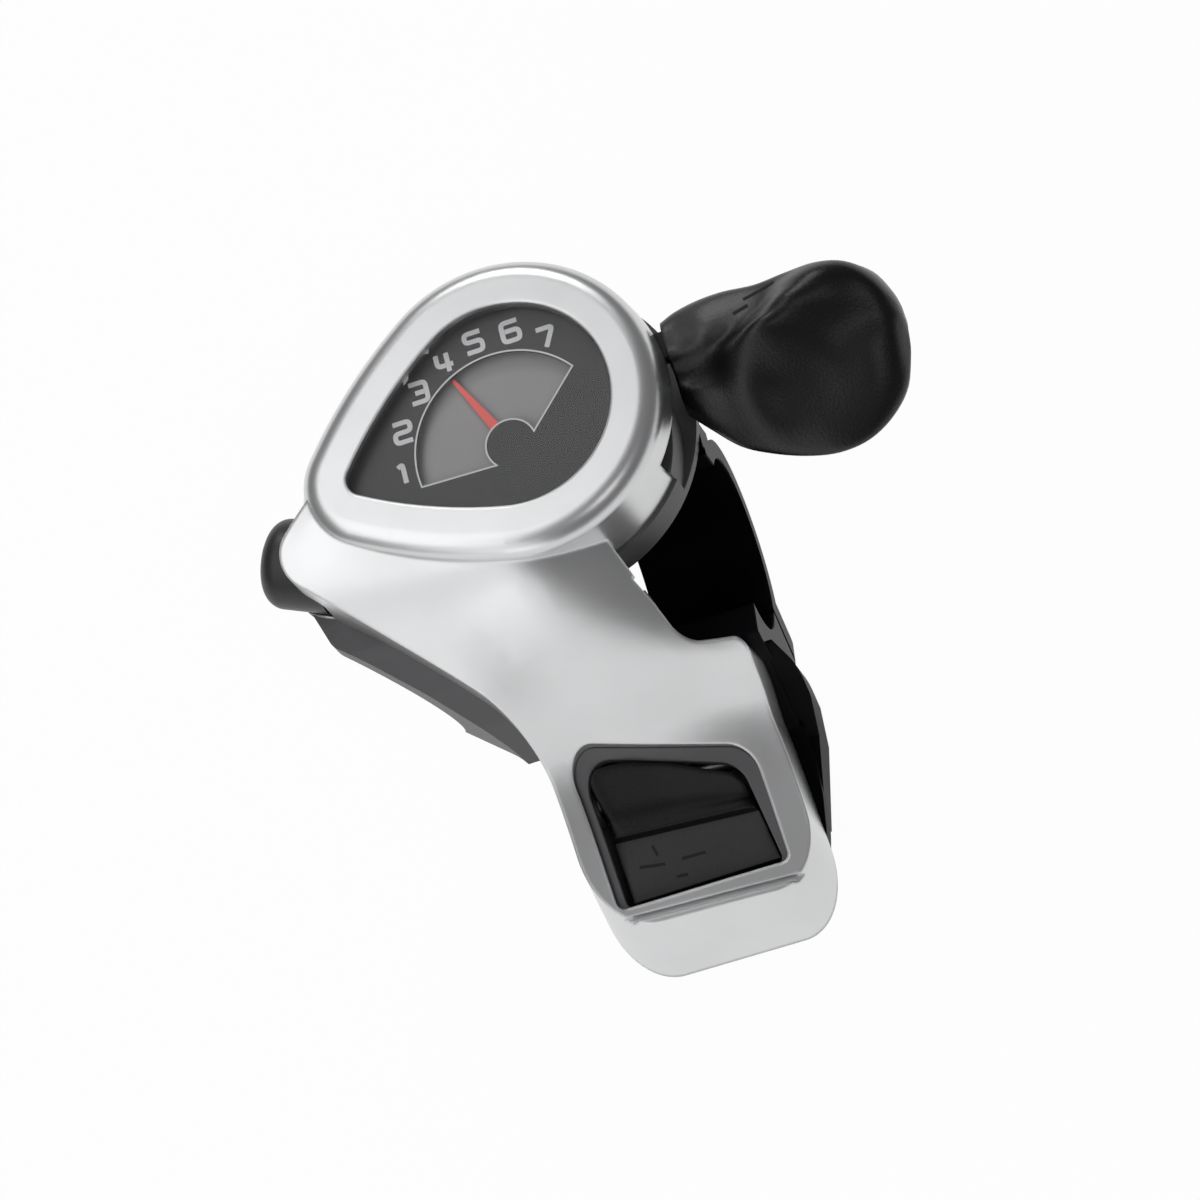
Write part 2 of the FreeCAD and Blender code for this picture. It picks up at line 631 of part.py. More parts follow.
def jaw_rib():
    """Rib of the jaw that fills in beside the tail, tapering away to its end."""
    last, end = PARTING_LINE[-2:]
    end_z = last[1] + (end[1] - last[1]) * (RIB_END - last[0]) / (end[0] - last[0])
    line = PARTING_LINE[2:-1] + [(RIB_END, end_z)]
    corners = [(y, z - RIB_SINK, 0.0) for y, z in line]
    corners += [(RIB_END, end_z - RIB_SINK - 1.5, 0.0)]
    corners += [(y, z - RIB_SINK - RIB_DEPTH, 0.0) for y, z in reversed(line[:-1])]
    slab = side_slab(corners, 0.0, FAR)
    outer = TAIL_RIGHT + RIB_OUT
    plan = [(TAIL_RIGHT - 5.0, LIP_Y + 1.2, 0.0), (TAIL_RIGHT - 5.0, RIB_END, 0.0), (TAIL_RIGHT, RIB_END, 0.0),
            (outer, LIP_Y - 7.0, 5.0), (outer, LIP_Y - 2.0, 2.4), (TAIL_RIGHT + 1.0, LIP_Y + 1.2, 1.0)]
    return slab.common(plate(plan, -60.0, 60.0)).cut(tail_plan(0.0).fuse(base_tray()))


def make_jaw(cover):
    """Fixed half of the clamp, with the web that ties it to the neck, its lug and the rib."""
    jaw_end = SPLIT_ANGLE + 360.0 - math.degrees(SPLIT_GAP / 2 / BAR_RADIUS)
    jaw = bar_sector(BAR_RADIUS, BAR_RADIUS + JAW_THICKNESS, JAW_START, jaw_end,
                     -CLAMP_HALF_WIDTH, CLAMP_HALF_WIDTH)
    web_corners = [PARTING_LINE[2] + (0.0,), PARTING_LINE[3] + (0.0,), PARTING_LINE[4] + (0.0,),
                   (-20.0, -14.0, 0.0), (-12.5, -14.5, 0.0), (-9.0, -8.0, 0.0), (-9.0, 5.0, 0.0)]
    web = side_slab(web_corners, NECK_RIGHT, CLAMP_HALF_WIDTH)
    web = web.cut(bar(BAR_RADIUS + 1.0, -FAR, FAR))
    web = web.common(tail_plan(0.0).fuse(Part.makeBox(14, 30, 60, Vector(-7, -40, -40))))
    web = web.cut(base_tray())
    jaw = fused([jaw, web, jaw_lug(JAW_LUG_THICKNESS, -1), jaw_rib()])
    jaw = jaw.cut(bar(BAR_RADIUS, -FAR, FAR)).cut(bolt_rod(BOLT_RADIUS + BOLT_SPARE, -40.0, 0.0))
    return largest(jaw.cut(bolt_nut()).cut(cover).cut(button_room()))


def make_base(cover, jaw):
    floor = prism(skirt_outline(0.0, FLOOR_BOTTOM), FLOOR_THICKNESS)
    wall_top = LEVER_LOW - RUN_GAP
    wall = ring(WALL_RING_OUTER, WALL_RING_OUTER - WALL, FLOOR_TOP, wall_top)
    wall = wall.common(pie(SLOT_START, SLOT_END, FLOOR_TOP, wall_top))
    foot = prism(skirt_outline(0.0, FLOOR_TOP), FACET_LOW - FLOOR_TOP)
    foot = foot.cut(prism(skirt_outline(-WALL, FLOOR_TOP - 1.0), 20.0))
    foot = foot.common(pie(FACET_START, SLOT_START, FLOOR_TOP, FACET_LOW))
    base = fused([floor, wall, foot, base_neck(), base_tray(), sleeve_seat()] + pin_ears())
    base = base.cut(bar(BAR_FREE, -FAR, FAR))
    base = base.cut(barrel_rod(BARREL_RADIUS + RUN_GAP, -5.0, BARREL_LENGTH + RUN_GAP))
    base = base.cut(barrel_rod(STEM_RADIUS + SLEEVE_WALL, BARREL_LENGTH, BARREL_LENGTH + STEM_LENGTH + 0.6))
    base = base.cut(barrel_rod(WIRE_RADIUS + 0.6, BARREL_LENGTH, 30.0))
    base = base.cut(slider_channel()).cut(make_axle()).cut(make_button_pin()).cut(spring_relief())
    for x in TAB_SCREW_X:
        base = base.cut(disc(TAB_SCREW_RADIUS, 0.0, 40.0, x, TAB_SCREW_Y))
    for x, y in BOSS_SPOTS:
        base = base.cut(disc(SCREW_RADIUS, 0.0, 40.0, x, y))
    return largest(base.cut(cover).cut(jaw).cut(make_bezel()))


def make_band():
    start = SPLIT_ANGLE + math.degrees(SPLIT_GAP / 2 / BAR_RADIUS)
    sector = bar_sector(BAR_RADIUS, BAR_RADIUS + BAND_THICKNESS, start, BAND_START,
                        -CLAMP_HALF_WIDTH, CLAMP_HALF_WIDTH)
    turn = math.radians(BAND_START)
    root_y = (BAR_RADIUS + BAND_THICKNESS) * math.cos(turn)
    tab_low = FLOOR_BOTTOM - BAND_THICKNESS
    tab_corners = [(-CLAMP_HALF_WIDTH, root_y - 1.2, 0.0), (CLAMP_HALF_WIDTH, root_y - 1.2, 0.0),
                   (CLAMP_HALF_WIDTH, root_y + 2.4, 1.0), (TAB_RIGHT, TAB_END - 3.0, 2.0),
                   (TAB_RIGHT, TAB_END, 2.0), (-CLAMP_HALF_WIDTH, TAB_END, 2.0)]
    tab = plate(tab_corners, tab_low, FLOOR_BOTTOM)
    low = BAR_RADIUS * math.sin(turn)
    knee_corners = [(root_y - 2.0, low, 0.0), (root_y + 2.4, low, 0.0),
                    (root_y + 2.4, FLOOR_BOTTOM - 1.0, 0.0), (root_y - 2.0, FLOOR_BOTTOM - 1.0, 0.0)]
    knee = side_slab(knee_corners, -CLAMP_HALF_WIDTH, CLAMP_HALF_WIDTH)
    band = fused([sector, tab, knee, jaw_lug(LUG_THICKNESS, 1)])
    band = band.cut(bar(BAR_RADIUS, -FAR, FAR))
    band = band.cut(bolt_rod(BOLT_RADIUS + BOLT_SPARE, 0.0, 40.0))
    for x in TAB_SCREW_X:
        band = band.cut(disc(TAB_SCREW_RADIUS, 0.0, 40.0, x, TAB_SCREW_Y))
    return band


def link(first, first_radius, second, second_radius, z_low, z_high):
    """Flat link between two round ends."""
    length = math.hypot(second[0] - first[0], second[1] - first[1])
    aside = (-(second[1] - first[1]) / length, (second[0] - first[0]) / length)
    corners = [(first[0] - aside[0] * first_radius, first[1] - aside[1] * first_radius, 0.0),
               (second[0] - aside[0] * second_radius, second[1] - aside[1] * second_radius, 0.0),
               (second[0] + aside[0] * second_radius, second[1] + aside[1] * second_radius, 0.0),
               (first[0] + aside[0] * first_radius, first[1] + aside[1] * first_radius, 0.0)]
    return fused([plate(corners, z_low, z_high), disc(first_radius, z_low, z_high, *first),
                  disc(second_radius, z_low, z_high, *second)])


def coil(radius, wire, turns, pitch, x, y, z_low):
    helix = Part.makeHelix(pitch, pitch * turns, radius)
    start = Part.Wire([Part.makeCircle(wire / 2, Vector(radius, 0, 0), Vector(0, 1, 0))])
    spring = Part.Wire(helix.Edges).makePipeShell([start], True, True)
    spring.translate(Vector(x, y, z_low + wire / 2))
    return spring


def make_plate():
    blank = disc(PLATE_RADIUS, FLOOR_TOP, PLATE_TOP)
    blank = blank.common(prism(skirt_outline(-WALL - SEAT, FLOOR_TOP), PLATE_THICKNESS))
    blank = blank.cut(disc(AXLE_RADIUS, 0, 50)).cut(disc(PAWL_PIN_RADIUS, 0, 50, *HOLD_POST))
    for x in TAB_SCREW_X:
        blank = blank.cut(disc(TAB_SCREW_RADIUS, 0, 50, x, TAB_SCREW_Y))
    blank = blank.cut(slider_channel()).cut(Part.makeBox(FAR, FAR, 50.0, Vector(-FAR / 2, 0.3 - FAR, 0.0)))
    return blank.common(disc(WALL_RING_OUTER - WALL - SEAT, FLOOR_TOP, PLATE_TOP))


def make_axle():
    groove_low = SLEEVE_TOP - 0.75
    axle = disc(AXLE_RADIUS, FLOOR_BOTTOM + 0.3, SLEEVE_TOP - 0.1)
    axle = axle.fuse(disc(AXLE_RADIUS + 1.8, FLOOR_BOTTOM + 0.3, FLOOR_TOP))
    return axle.cut(ring(AXLE_RADIUS + 1.0, AXLE_RADIUS - 0.4, groove_low, groove_low + 0.4))


def make_clip():
    groove_low = SLEEVE_TOP - 0.75
    clip = ring(AXLE_RADIUS + 1.0, AXLE_RADIUS - 0.4, groove_low, groove_low + 0.4)
    return clip.cut(Part.makeBox(10.0, 2.4, 5.0, Vector(HUB_X, HUB_Y - 1.2, groove_low - 1.0)))


def make_drum():
    drum = fused([disc(FLANGE_RADIUS, DRUM_LOW, GROOVE_LOW), disc(DRUM_RADIUS, GROOVE_LOW, GROOVE_HIGH),
                  disc(RATCHET_RADIUS, GROOVE_HIGH, RATCHET_TOP),
                  disc(SLEEVE_RADIUS, RATCHET_TOP, SLEEVE_TOP)])
    for index in range(NOTCHES):
        angle = HOLD_NOSE_ANGLE - STEP_ANGLE * (STEPS / 2 + 0.5) + STEP_ANGLE * index
        steep = polar(RATCHET_RADIUS - TOOTH_DEPTH, angle)
        corners = [steep + (0.0,), polar(RATCHET_RADIUS + 1.5, angle - 1.0) + (0.0,),
                   polar(RATCHET_RADIUS + 1.5, angle + 13.0) + (0.0,)]
        drum = drum.cut(plate(corners, GROOVE_HIGH, RATCHET_TOP + 1.0))
    drum = drum.cut(ring(SPRING_RADIUS + 0.9, SPRING_RADIUS - 0.9, RATCHET_TOP - SPRING_DEPTH, RATCHET_TOP))
    drum = drum.cut(disc(AXLE_RADIUS + FIT, 0, 60))
    drum = drum.cut(disc(AXLE_RADIUS + 1.3, SLEEVE_TOP - 0.9, SLEEVE_TOP + 1.0))
    return drum.cut(disc(HEAD_RADIUS + FIT, GROOVE_LOW, GROOVE_HIGH, *HEAD_SPOT))


def make_driver():
    cap = disc(DRIVER_RADIUS, SLEEVE_TOP, DRIVER_TOP)
    return cap.fuse(disc(SPINDLE_RADIUS, DRIVER_TOP, NEEDLE_HIGH))


def make_needle():
    eye = disc(2.2, NEEDLE_LOW, NEEDLE_HIGH)
    tip = polar(NEEDLE_LENGTH, NEEDLE_ANGLE)
    blade = link((HUB_X, HUB_Y), NEEDLE_ROOT, tip, NEEDLE_TIP, NEEDLE_LOW, NEEDLE_HIGH)
    return fused([eye, blade]).cut(disc(SPINDLE_RADIUS, 0, 60))


def make_mask():
    def spot(radius, angle):
        return Vector(*polar(radius, angle), MASK_LOW)
    middle = (SECTOR_START + SECTOR_END) / 2
    outer = Part.Arc(spot(SECTOR_OUTER, SECTOR_START), spot(SECTOR_OUTER, middle),
                     spot(SECTOR_OUTER, SECTOR_END)).toShape()
    inner = Part.Arc(spot(SECTOR_INNER, SECTOR_INNER_END), spot(SECTOR_INNER, middle),
                     spot(SECTOR_INNER, SECTOR_INNER_START)).toShape()
    sector = Part.Wire([outer, Part.makeLine(spot(SECTOR_OUTER, SECTOR_END),
                                             spot(SECTOR_INNER, SECTOR_INNER_END)),
                        inner, Part.makeLine(spot(SECTOR_INNER, SECTOR_INNER_START),
                                             spot(SECTOR_OUTER, SECTOR_START))])
    return dial_slab(CARRIER_OUT, MASK_LOW, MASK_TOP).cut(prism(sector, MASK_THICKNESS))


def make_carrier():
    tray = dial_slab(CARRIER_OUT, CARRIER_LOW, MASK_LOW)
    tray = tray.cut(dial_slab(SEAT, DIAL_LOW, MASK_LOW))
    return tray.cut(disc(SPINDLE_RADIUS + RUN_GAP, 0, 60))


def make_dial():
    return dial_slab(0.0, DIAL_LOW, DIAL_LOW + DIAL_THICKNESS).cut(disc(SPINDLE_RADIUS + RUN_GAP, 0, 60))


def make_lens():
    flange = dial_slab(CARRIER_OUT, MASK_TOP, LENS_SHELF).cut(dial_slab(SEAT, MASK_TOP, MASK_TOP + SEAT))
    return flange.fuse(dial_slab(-SEAT, LENS_SHELF, LENS_SHELF + LENS_PLUG)).removeSplitter()


def arm_outline(low, high):
    corners = [(HUB_X, HUB_Y - 7.0, 0.0), (-2.0, HUB_Y - 1.0, 6.0), (6.0, HUB_Y + 6.0, 5.0),
               (13.0, HUB_Y + 6.4, 6.0), (ARM_END, HUB_Y + 3.6, 1.2), (ARM_END, HUB_Y + 6.6, 1.2),
               (13.0, HUB_Y + 9.4, 6.0), (3.0, HUB_Y + 9.6, 6.0), (HUB_X, HUB_Y + 8.0, 0.0)]
    return plate(corners, low, high)


def make_lever():
    hub = disc(LEVER_HUB_RADIUS, LEVER_LOW, LEVER_TOP)
    lobe = link((HUB_X, HUB_Y), LEVER_HUB_RADIUS - 4.0, ARM_PIN, PAWL_EYE, LEVER_LOW, LEVER_TOP)
    lever = fused([hub, lobe, arm_outline(LEVER_LOW, LEVER_TOP)])
    return lever.cut(disc(SLEEVE_RADIUS + FIT, 0, 60)).cut(disc(PAWL_PIN_RADIUS, 0, 60, *ARM_PIN))


def make_paddle():
    wires = []
    for x, top in PADDLE_SECTIONS:
        far, near = top[0], top[-1]
        back = min(PADDLE_BACK, near[1] - 0.6) if x < PADDLE_SECTIONS[-2][0] else PADDLE_END_BACK
        edge = min(PADDLE_EDGE, (far[0] - near[0]) / 4)
        under = [(near[0] + edge, back), ((far[0] + near[0]) / 2, back - 0.1), (far[0] - edge, back + 0.5)]
        curve = Part.BSplineCurve()
        curve.interpolate([Vector(x, y, z) for y, z in top + under], PeriodicFlag=True)
        wires.append(Part.Wire([curve.toShape()]))
    body = Part.makeLoft(wires, True, False)
    return body.cut(arm_outline(LEVER_LOW, LEVER_TOP))


def make_feed_pawl():
    low = GROOVE_HIGH + 0.1
    pawl = link(ARM_PIN, PAWL_EYE, FEED_NOSE, PAWL_NOSE, low, RATCHET_TOP)
    return pawl.cut(disc(PAWL_PIN_RADIUS + FIT, 0, 60, *ARM_PIN))


def make_hold_pawl():
    low = GROOVE_HIGH + 0.1
    pawl = fused([link(HOLD_POST, PAWL_EYE, HOLD_NOSE, PAWL_NOSE, low, RATCHET_TOP),
                  link(HOLD_NOSE, PAWL_NOSE, HOLD_TAIL, PAWL_NOSE, low, RATCHET_TOP)])
    return pawl.cut(disc(PAWL_PIN_RADIUS + FIT, 0, 60, *HOLD_POST))


def make_hold_post():
    pin = disc(PAWL_PIN_RADIUS, FLOOR_TOP, RATCHET_TOP, *HOLD_POST)
    return pin.fuse(disc(COLLAR_RADIUS, PLATE_TOP, GROOVE_HIGH - 0.2, *HOLD_POST)).removeSplitter()


def button_plan(out):
    """Outline of the button seen from above, grown by a gap."""
    left = WINDOW_LEFT + BUTTON_LEFT_GAP - out
    right = WINDOW_RIGHT - BUTTON_RIGHT_GAP + out
    low = WINDOW_END + BUTTON_GAP - out
    corners = [(left, WINDOW_TOP_LEFT - BUTTON_TOP_GAP + out, 3.0 + out), (left, low, 1.0),
               (right + 1.4, low, 1.0), (right, WINDOW_TOP_RIGHT - BUTTON_TOP_GAP + out, 3.0 + out)]
    return plate(corners, -60.0, 60.0)


def button_room():
    """Space that the button and its pin need below the window."""
    room = button_plan(BUTTON_GAP + RUN_GAP)
    low = Part.makeBox(FAR, FAR, FAR, Vector(-FAR / 2, BUTTON_PIN_Y - FAR, -FAR))
    high = Part.makeBox(FAR, FAR, FAR, Vector(-FAR / 2, BUTTON_PIN_Y - 1.0, BUTTON_PIN_Z - BUTTON_KNUCKLE - RUN_GAP))
    return room.common(low.fuse(high))


def make_bezel():
    layer = under_top(BEZEL_SINK).cut(under_top(BEZEL_SINK + BEZEL_THICKNESS))
    frame = layer.common(window_cut(-SEAT / 2, -60.0, 60.0))
    return frame.cut(button_plan(BUTTON_GAP)).cut(spring_relief())


def pin_rod(radius, x_low, x_high):
    return Part.makeCylinder(radius, x_high - x_low, Vector(x_low, BUTTON_PIN_Y, BUTTON_PIN_Z), Vector(1, 0, 0))


def spring_relief():
    return pin_rod(BUTTON_SPRING_RADIUS + BUTTON_SPRING_WIRE / 2 + RUN_GAP, EAR_RIGHT - 1.3, EAR_RIGHT)


def make_button_spring():
    spring = coil(BUTTON_SPRING_RADIUS, BUTTON_SPRING_WIRE, 1.0, BUTTON_SPRING_WIRE + 0.04, 0.0, 0.0, 0.0)
    spring.rotate(Vector(0, 0, 0), Vector(0, 1, 0), 90.0)
    spring.translate(Vector(EAR_RIGHT - 1.02, BUTTON_PIN_Y, BUTTON_PIN_Z))
    return spring


def make_tab_screws():
    low = FLOOR_BOTTOM - BAND_THICKNESS
    screws = []
    for x in TAB_SCREW_X:
        shank = disc(TAB_SCREW_RADIUS, low, PLATE_TOP, x, TAB_SCREW_Y)
        head = disc(TAB_HEAD_RADIUS, low - TAB_HEAD_HEIGHT, low, x, TAB_SCREW_Y)
        head = head.cut(disc(1.0, 0.0, low - 0.6, x, TAB_SCREW_Y))
        screws.append(shank.fuse(head).removeSplitter())
    return Part.makeCompound(screws)


def make_cover_screws():
    screws = []
    for x, y in BOSS_SPOTS:
        shank = disc(SCREW_RADIUS, FLOOR_BOTTOM, BOSS_HOLE_TOP, x, y)
        head = disc(SCREW_HEAD_RADIUS, FLOOR_BOTTOM - SCREW_HEAD_HEIGHT, FLOOR_BOTTOM, x, y)
        head = head.cut(disc(0.9, 0.0, FLOOR_BOTTOM - 0.6, x, y))
        screws.append(shank.fuse(head).removeSplitter())
    return Part.makeCompound(screws)


def make_button():
    top = (BUTTON_BACK_Y, BUTTON_TOP_Z - 0.6)
    scoop = Part.Arc(Vector(0, *top), Vector(0, SCOOP_MIDDLE_Y, SCOOP_MIDDLE_Z),
                     Vector(0, SCOOP_END_Y, SCOOP_END_Z)).toShape()
    end_y = WINDOW_END + BUTTON_GAP
    ledge_y = SCOOP_END_Y - 0.7
    ledge_z = SCOOP_END_Z - SCOOP_STEP
    loop = [(SCOOP_END_Y, SCOOP_END_Z), (ledge_y, ledge_z), (end_y, LEDGE_END_Z),
            (end_y, LEDGE_END_Z - LEDGE_THICKNESS), (ledge_y, ledge_z - LEDGE_THICKNESS),
            (BUTTON_PIN_Y, BUTTON_PIN_Z - BUTTON_KNUCKLE), (BUTTON_PIN_Y + BUTTON_KNUCKLE, BUTTON_PIN_Z),
            (BUTTON_BACK_Y + 1.6, BUTTON_TOP_Z - 2.2), (BUTTON_BACK_Y + 1.4, BUTTON_TOP_Z - 0.2), top]
    lines = [Part.makeLine(Vector(0, *a), Vector(0, *b)) for a, b in zip(loop, loop[1:])]
    profile = Part.Face(Part.Wire([scoop] + lines))
    body = profile.extrude(Vector(60, 0, 0))
    lip = [edge for edge in body.Edges if edge.BoundBox.XLength > 50.0
           and abs(edge.BoundBox.YMax - SCOOP_END_Y) < 0.01]
    body = body.makeFillet(LIP_ROUND, lip)
    body.translate(Vector(-30, 0, 0))
    body = body.common(button_plan(0.0))
    return body.cut(pin_rod(BUTTON_PIN_RADIUS + FIT, -30.0, 30.0))


def pin_ears():
    ears = []
    for x in (EAR_LEFT, EAR_RIGHT):
        corners = [(BUTTON_PIN_Y - 2.4, BUTTON_PIN_Z - 6.0, 0.0), (BUTTON_PIN_Y + 3.0, BUTTON_PIN_Z - 3.0, 0.0),
                   (BUTTON_PIN_Y + 2.0, BUTTON_PIN_Z + 1.9, 1.2), (BUTTON_PIN_Y - 2.0, BUTTON_PIN_Z + 1.9, 1.2)]
        ears.append(side_slab(corners, x, x + EAR_WIDTH))
    return ears


def make_button_pin():
    return pin_rod(BUTTON_PIN_RADIUS, EAR_LEFT, EAR_RIGHT + EAR_WIDTH)


def make_slider():
    strip = bar_sector(SLIDER_INNER, SLIDER_OUTER, SLIDER_START, SLIDER_END, SLIDER_LEFT, SLIDER_RIGHT)
    turn = math.radians(SLIDER_START)
    root = SLIDER_INNER * math.cos(turn)
    low = SLIDER_INNER - 0.4
    corners = [(root - 0.9, low, 0.0), (root + 0.9, low, 0.0), (root + 1.9, FINGER_TOP, 0.3),
               (root + 0.5, FINGER_TOP, 0.3), (root - 0.9, FINGER_TOP - 1.7, 0.5)]
    finger = side_slab(corners, SLIDER_LEFT, SLIDER_LEFT + FINGER_WIDTH)
    return strip.fuse(finger.cut(bar(SLIDER_INNER, -FAR, FAR))).removeSplitter()


def slider_channel():
    play = RUN_GAP
    return bar_sector(SLIDER_INNER - play, SLIDER_OUTER + 3.0, SLIDER_START - SLIDER_TRAVEL - 6.0,
                      SLIDER_END + 40.0, SLIDER_LEFT - play, SLIDER_RIGHT + play)


def make_barrel():
    head = barrel_rod(BARREL_RADIUS, 0.0, BARREL_LENGTH)
    outer = [edge for edge in head.Edges if edge.BoundBox.Center.distanceToPoint(barrel_point(0)) < 0.5]
    head = head.makeFillet(BARREL_DOME, outer)
    barrel = head.fuse(barrel_rod(STEM_RADIUS, BARREL_LENGTH, BARREL_LENGTH + STEM_LENGTH))
    barrel = barrel.cut(barrel_rod(WIRE_RADIUS + 0.5, -1.0, 40.0))
    return barrel.cut(barrel_rod(HOUSING_SEAT_RADIUS, -1.0, HOUSING_SEAT_DEPTH))


def make_sleeve():
    start = BARREL_LENGTH + RUN_GAP
    end = BARREL_LENGTH + STEM_LENGTH + 0.6
    tube = barrel_rod(STEM_RADIUS + SLEEVE_WALL, start, end)
    return tube.cut(barrel_rod(STEM_RADIUS + FIT, start - 1.0, end - 0.6)).cut(
        barrel_rod(WIRE_RADIUS + 0.5, start, end + 1.0))


def sleeve_seat():
    start = barrel_point(BARREL_LENGTH + RUN_GAP)
    block = Part.makeBox(STEM_LENGTH + 0.3, 6.0, WIRE_Z - FLOOR_TOP, Vector(0, -3.0, 0))
    block.rotate(Vector(0, 0, 0), Vector(0, 0, 1), BARREL_ANGLE - 180.0)
    block.translate(Vector(start.x, start.y, FLOOR_TOP))
    return block


def make_wire():
    reach = DRUM_RADIUS + WIRE_RADIUS + RUN_GAP
    corner = barrel_point(BEND_AT)
    away = math.hypot(HUB_X - corner.x, HUB_Y - corner.y)
    heading = math.degrees(math.atan2(HUB_Y - corner.y, HUB_X - corner.x))
    heading -= math.degrees(math.asin(reach / away))
    touch = Vector(*polar(reach, heading - 90.0), WIRE_Z)
    bend = heading - (BARREL_ANGLE - 180.0)
    back = BEND_RADIUS * math.tan(math.radians(abs(bend) / 2))
    inwards = (corner - barrel_point(0)).normalize()
    onwards = (touch - corner).normalize()
    first = corner - inwards * back
    second = corner + onwards * back
    middle_way = (onwards - inwards).normalize()
    centre = first + (Vector(0, 0, 1).cross(inwards)).normalize() * BEND_RADIUS
    middle = centre - middle_way * BEND_RADIUS
    wrap_middle = Vector(*polar(reach, (heading - 90.0 + HEAD_ANGLE) / 2), WIRE_Z)
    wrap_end = Vector(*polar(reach, HEAD_ANGLE), WIRE_Z)
    start = barrel_point(-WIRE_STUB)
    path = Part.Wire([Part.makeLine(start, first), Part.Arc(first, middle, second).toShape(),
                      Part.makeLine(second, touch), Part.Arc(touch, wrap_middle, wrap_end).toShape()])
    section = Part.Wire([Part.makeCircle(WIRE_RADIUS, start, inwards)])
    return path.makePipeShell([section], True, True)


def make_bolt():
    head_low = SPLIT_GAP / 2 + LUG_THICKNESS
    shank_end = -(SPLIT_GAP / 2 + JAW_LUG_THICKNESS - 0.6)
    bolt = bolt_rod(BOLT_RADIUS, shank_end, head_low)
    bolt = bolt.fuse(bolt_rod(BOLT_HEAD_RADIUS, head_low, head_low + BOLT_HEAD_HEIGHT)).removeSplitter()
    half = 2.0
    corners = [polar(half / math.cos(math.radians(30)), 60 * k, 0, BAR_RADIUS + LUG_REACH * 0.58) + (0.0,)
               for k in range(6)]
    socket = turned_about_bar(plate(corners, head_low + BOLT_HEAD_HEIGHT - 2.6,
                                    head_low + BOLT_HEAD_HEIGHT + 1.0), SPLIT_ANGLE)
    return bolt.cut(socket)


# Places that follow from the sizes
HOLD_POST = polar(HOLD_POST_REACH, HOLD_POST_ANGLE)
HOLD_NOSE = polar(RATCHET_RADIUS + HOLD_CLEAR + PAWL_NOSE, HOLD_NOSE_ANGLE)
HOLD_TAIL = polar(HOLD_TAIL_REACH, HOLD_TAIL_ANGLE)
ARM_PIN = polar(ARM_PIN_REACH, ARM_PIN_ANGLE)
FEED_NOSE = polar(RATCHET_RADIUS + FEED_CLEAR + PAWL_NOSE, FEED_NOSE_ANGLE)
HEAD_SPOT = polar(DRUM_RADIUS - HEAD_RADIUS - SEAT, HEAD_ANGLE + 14.0)
EAR_LEFT = WINDOW_LEFT
EAR_RIGHT = WINDOW_RIGHT - EAR_WIDTH
BUTTON_BACK_Y = WINDOW_TOP_LEFT - BUTTON_TOP_GAP - 1.6
BOSS_HOLE_TOP = LEVER_LOW

os.makedirs("parts", exist_ok=True)
top_cover = make_cover()
clamp_jaw = make_jaw(top_cover)
parts = {
    "top_cover": top_cover,
    "base_housing": make_base(top_cover, clamp_jaw),
    "clamp_jaw": clamp_jaw,
    "clamp_band": make_band(),
    "clamp_bolt": make_bolt(),
    "clamp_nut": bolt_nut().cut(bolt_rod(BOLT_RADIUS + SEAT / 2, -40.0, 40.0)),
    "base_plate": make_plate(),
    "main_axle": make_axle(),
    "axle_clip": make_clip(),
    "wire_drum": make_drum(),
    "wire_head": disc(HEAD_RADIUS, GROOVE_LOW, GROOVE_HIGH, *HEAD_SPOT),
    "needle_driver": make_driver(),
    "needle": make_needle(),
    "dial_mask": make_mask(),
    "dial_carrier": make_carrier(),
    "dial_plate": make_dial(),
    "dial_lens": make_lens(),
    "lever_plate": make_lever(),
    "lever_paddle": make_paddle(),
    "feed_pawl": make_feed_pawl(),
    "feed_pawl_pin": disc(PAWL_PIN_RADIUS, GROOVE_HIGH, LEVER_TOP, *ARM_PIN),
    "hold_pawl": make_hold_pawl(),
    "hold_pawl_post": make_hold_post(),
    "lever_spring": coil(SPRING_RADIUS, SPRING_WIRE, 1.0, SPRING_WIRE + 0.1, HUB_X, HUB_Y,
                         RATCHET_TOP - SPRING_DEPTH + RUN_GAP),
    "release_button": make_button(),
    "button_pin": make_button_pin(),
    "release_slider": make_slider(),
    "adjuster_barrel": make_barrel(),
    "adjuster_sleeve": make_sleeve(),
    "shift_wire": make_wire(),
    "button_bezel": make_bezel(),
    "button_spring": make_button_spring(),
    "tab_screws": make_tab_screws(),
    "cover_screws": make_cover_screws(),
}
for name, shape in parts.items():
    box = shape.BoundBox
    print(name, shape.isValid(), len(shape.Solids), round(shape.Volume, 1), round(box.XLength, 1))
    shape.exportStep("parts/" + name + ".step")
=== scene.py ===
# %% [markdown]
# A bicycle trigger shifter: a silver moulded cover with a round dial, a black thumb paddle,
# a black release button in the tail, and a split clamp for the handlebar. The solids arrive
# ready made and in place, so this lesson is about finishes, printing and light.

# %% Load the frame
import json
import math
import bmesh
import bpy
from mathutils import Matrix, Vector


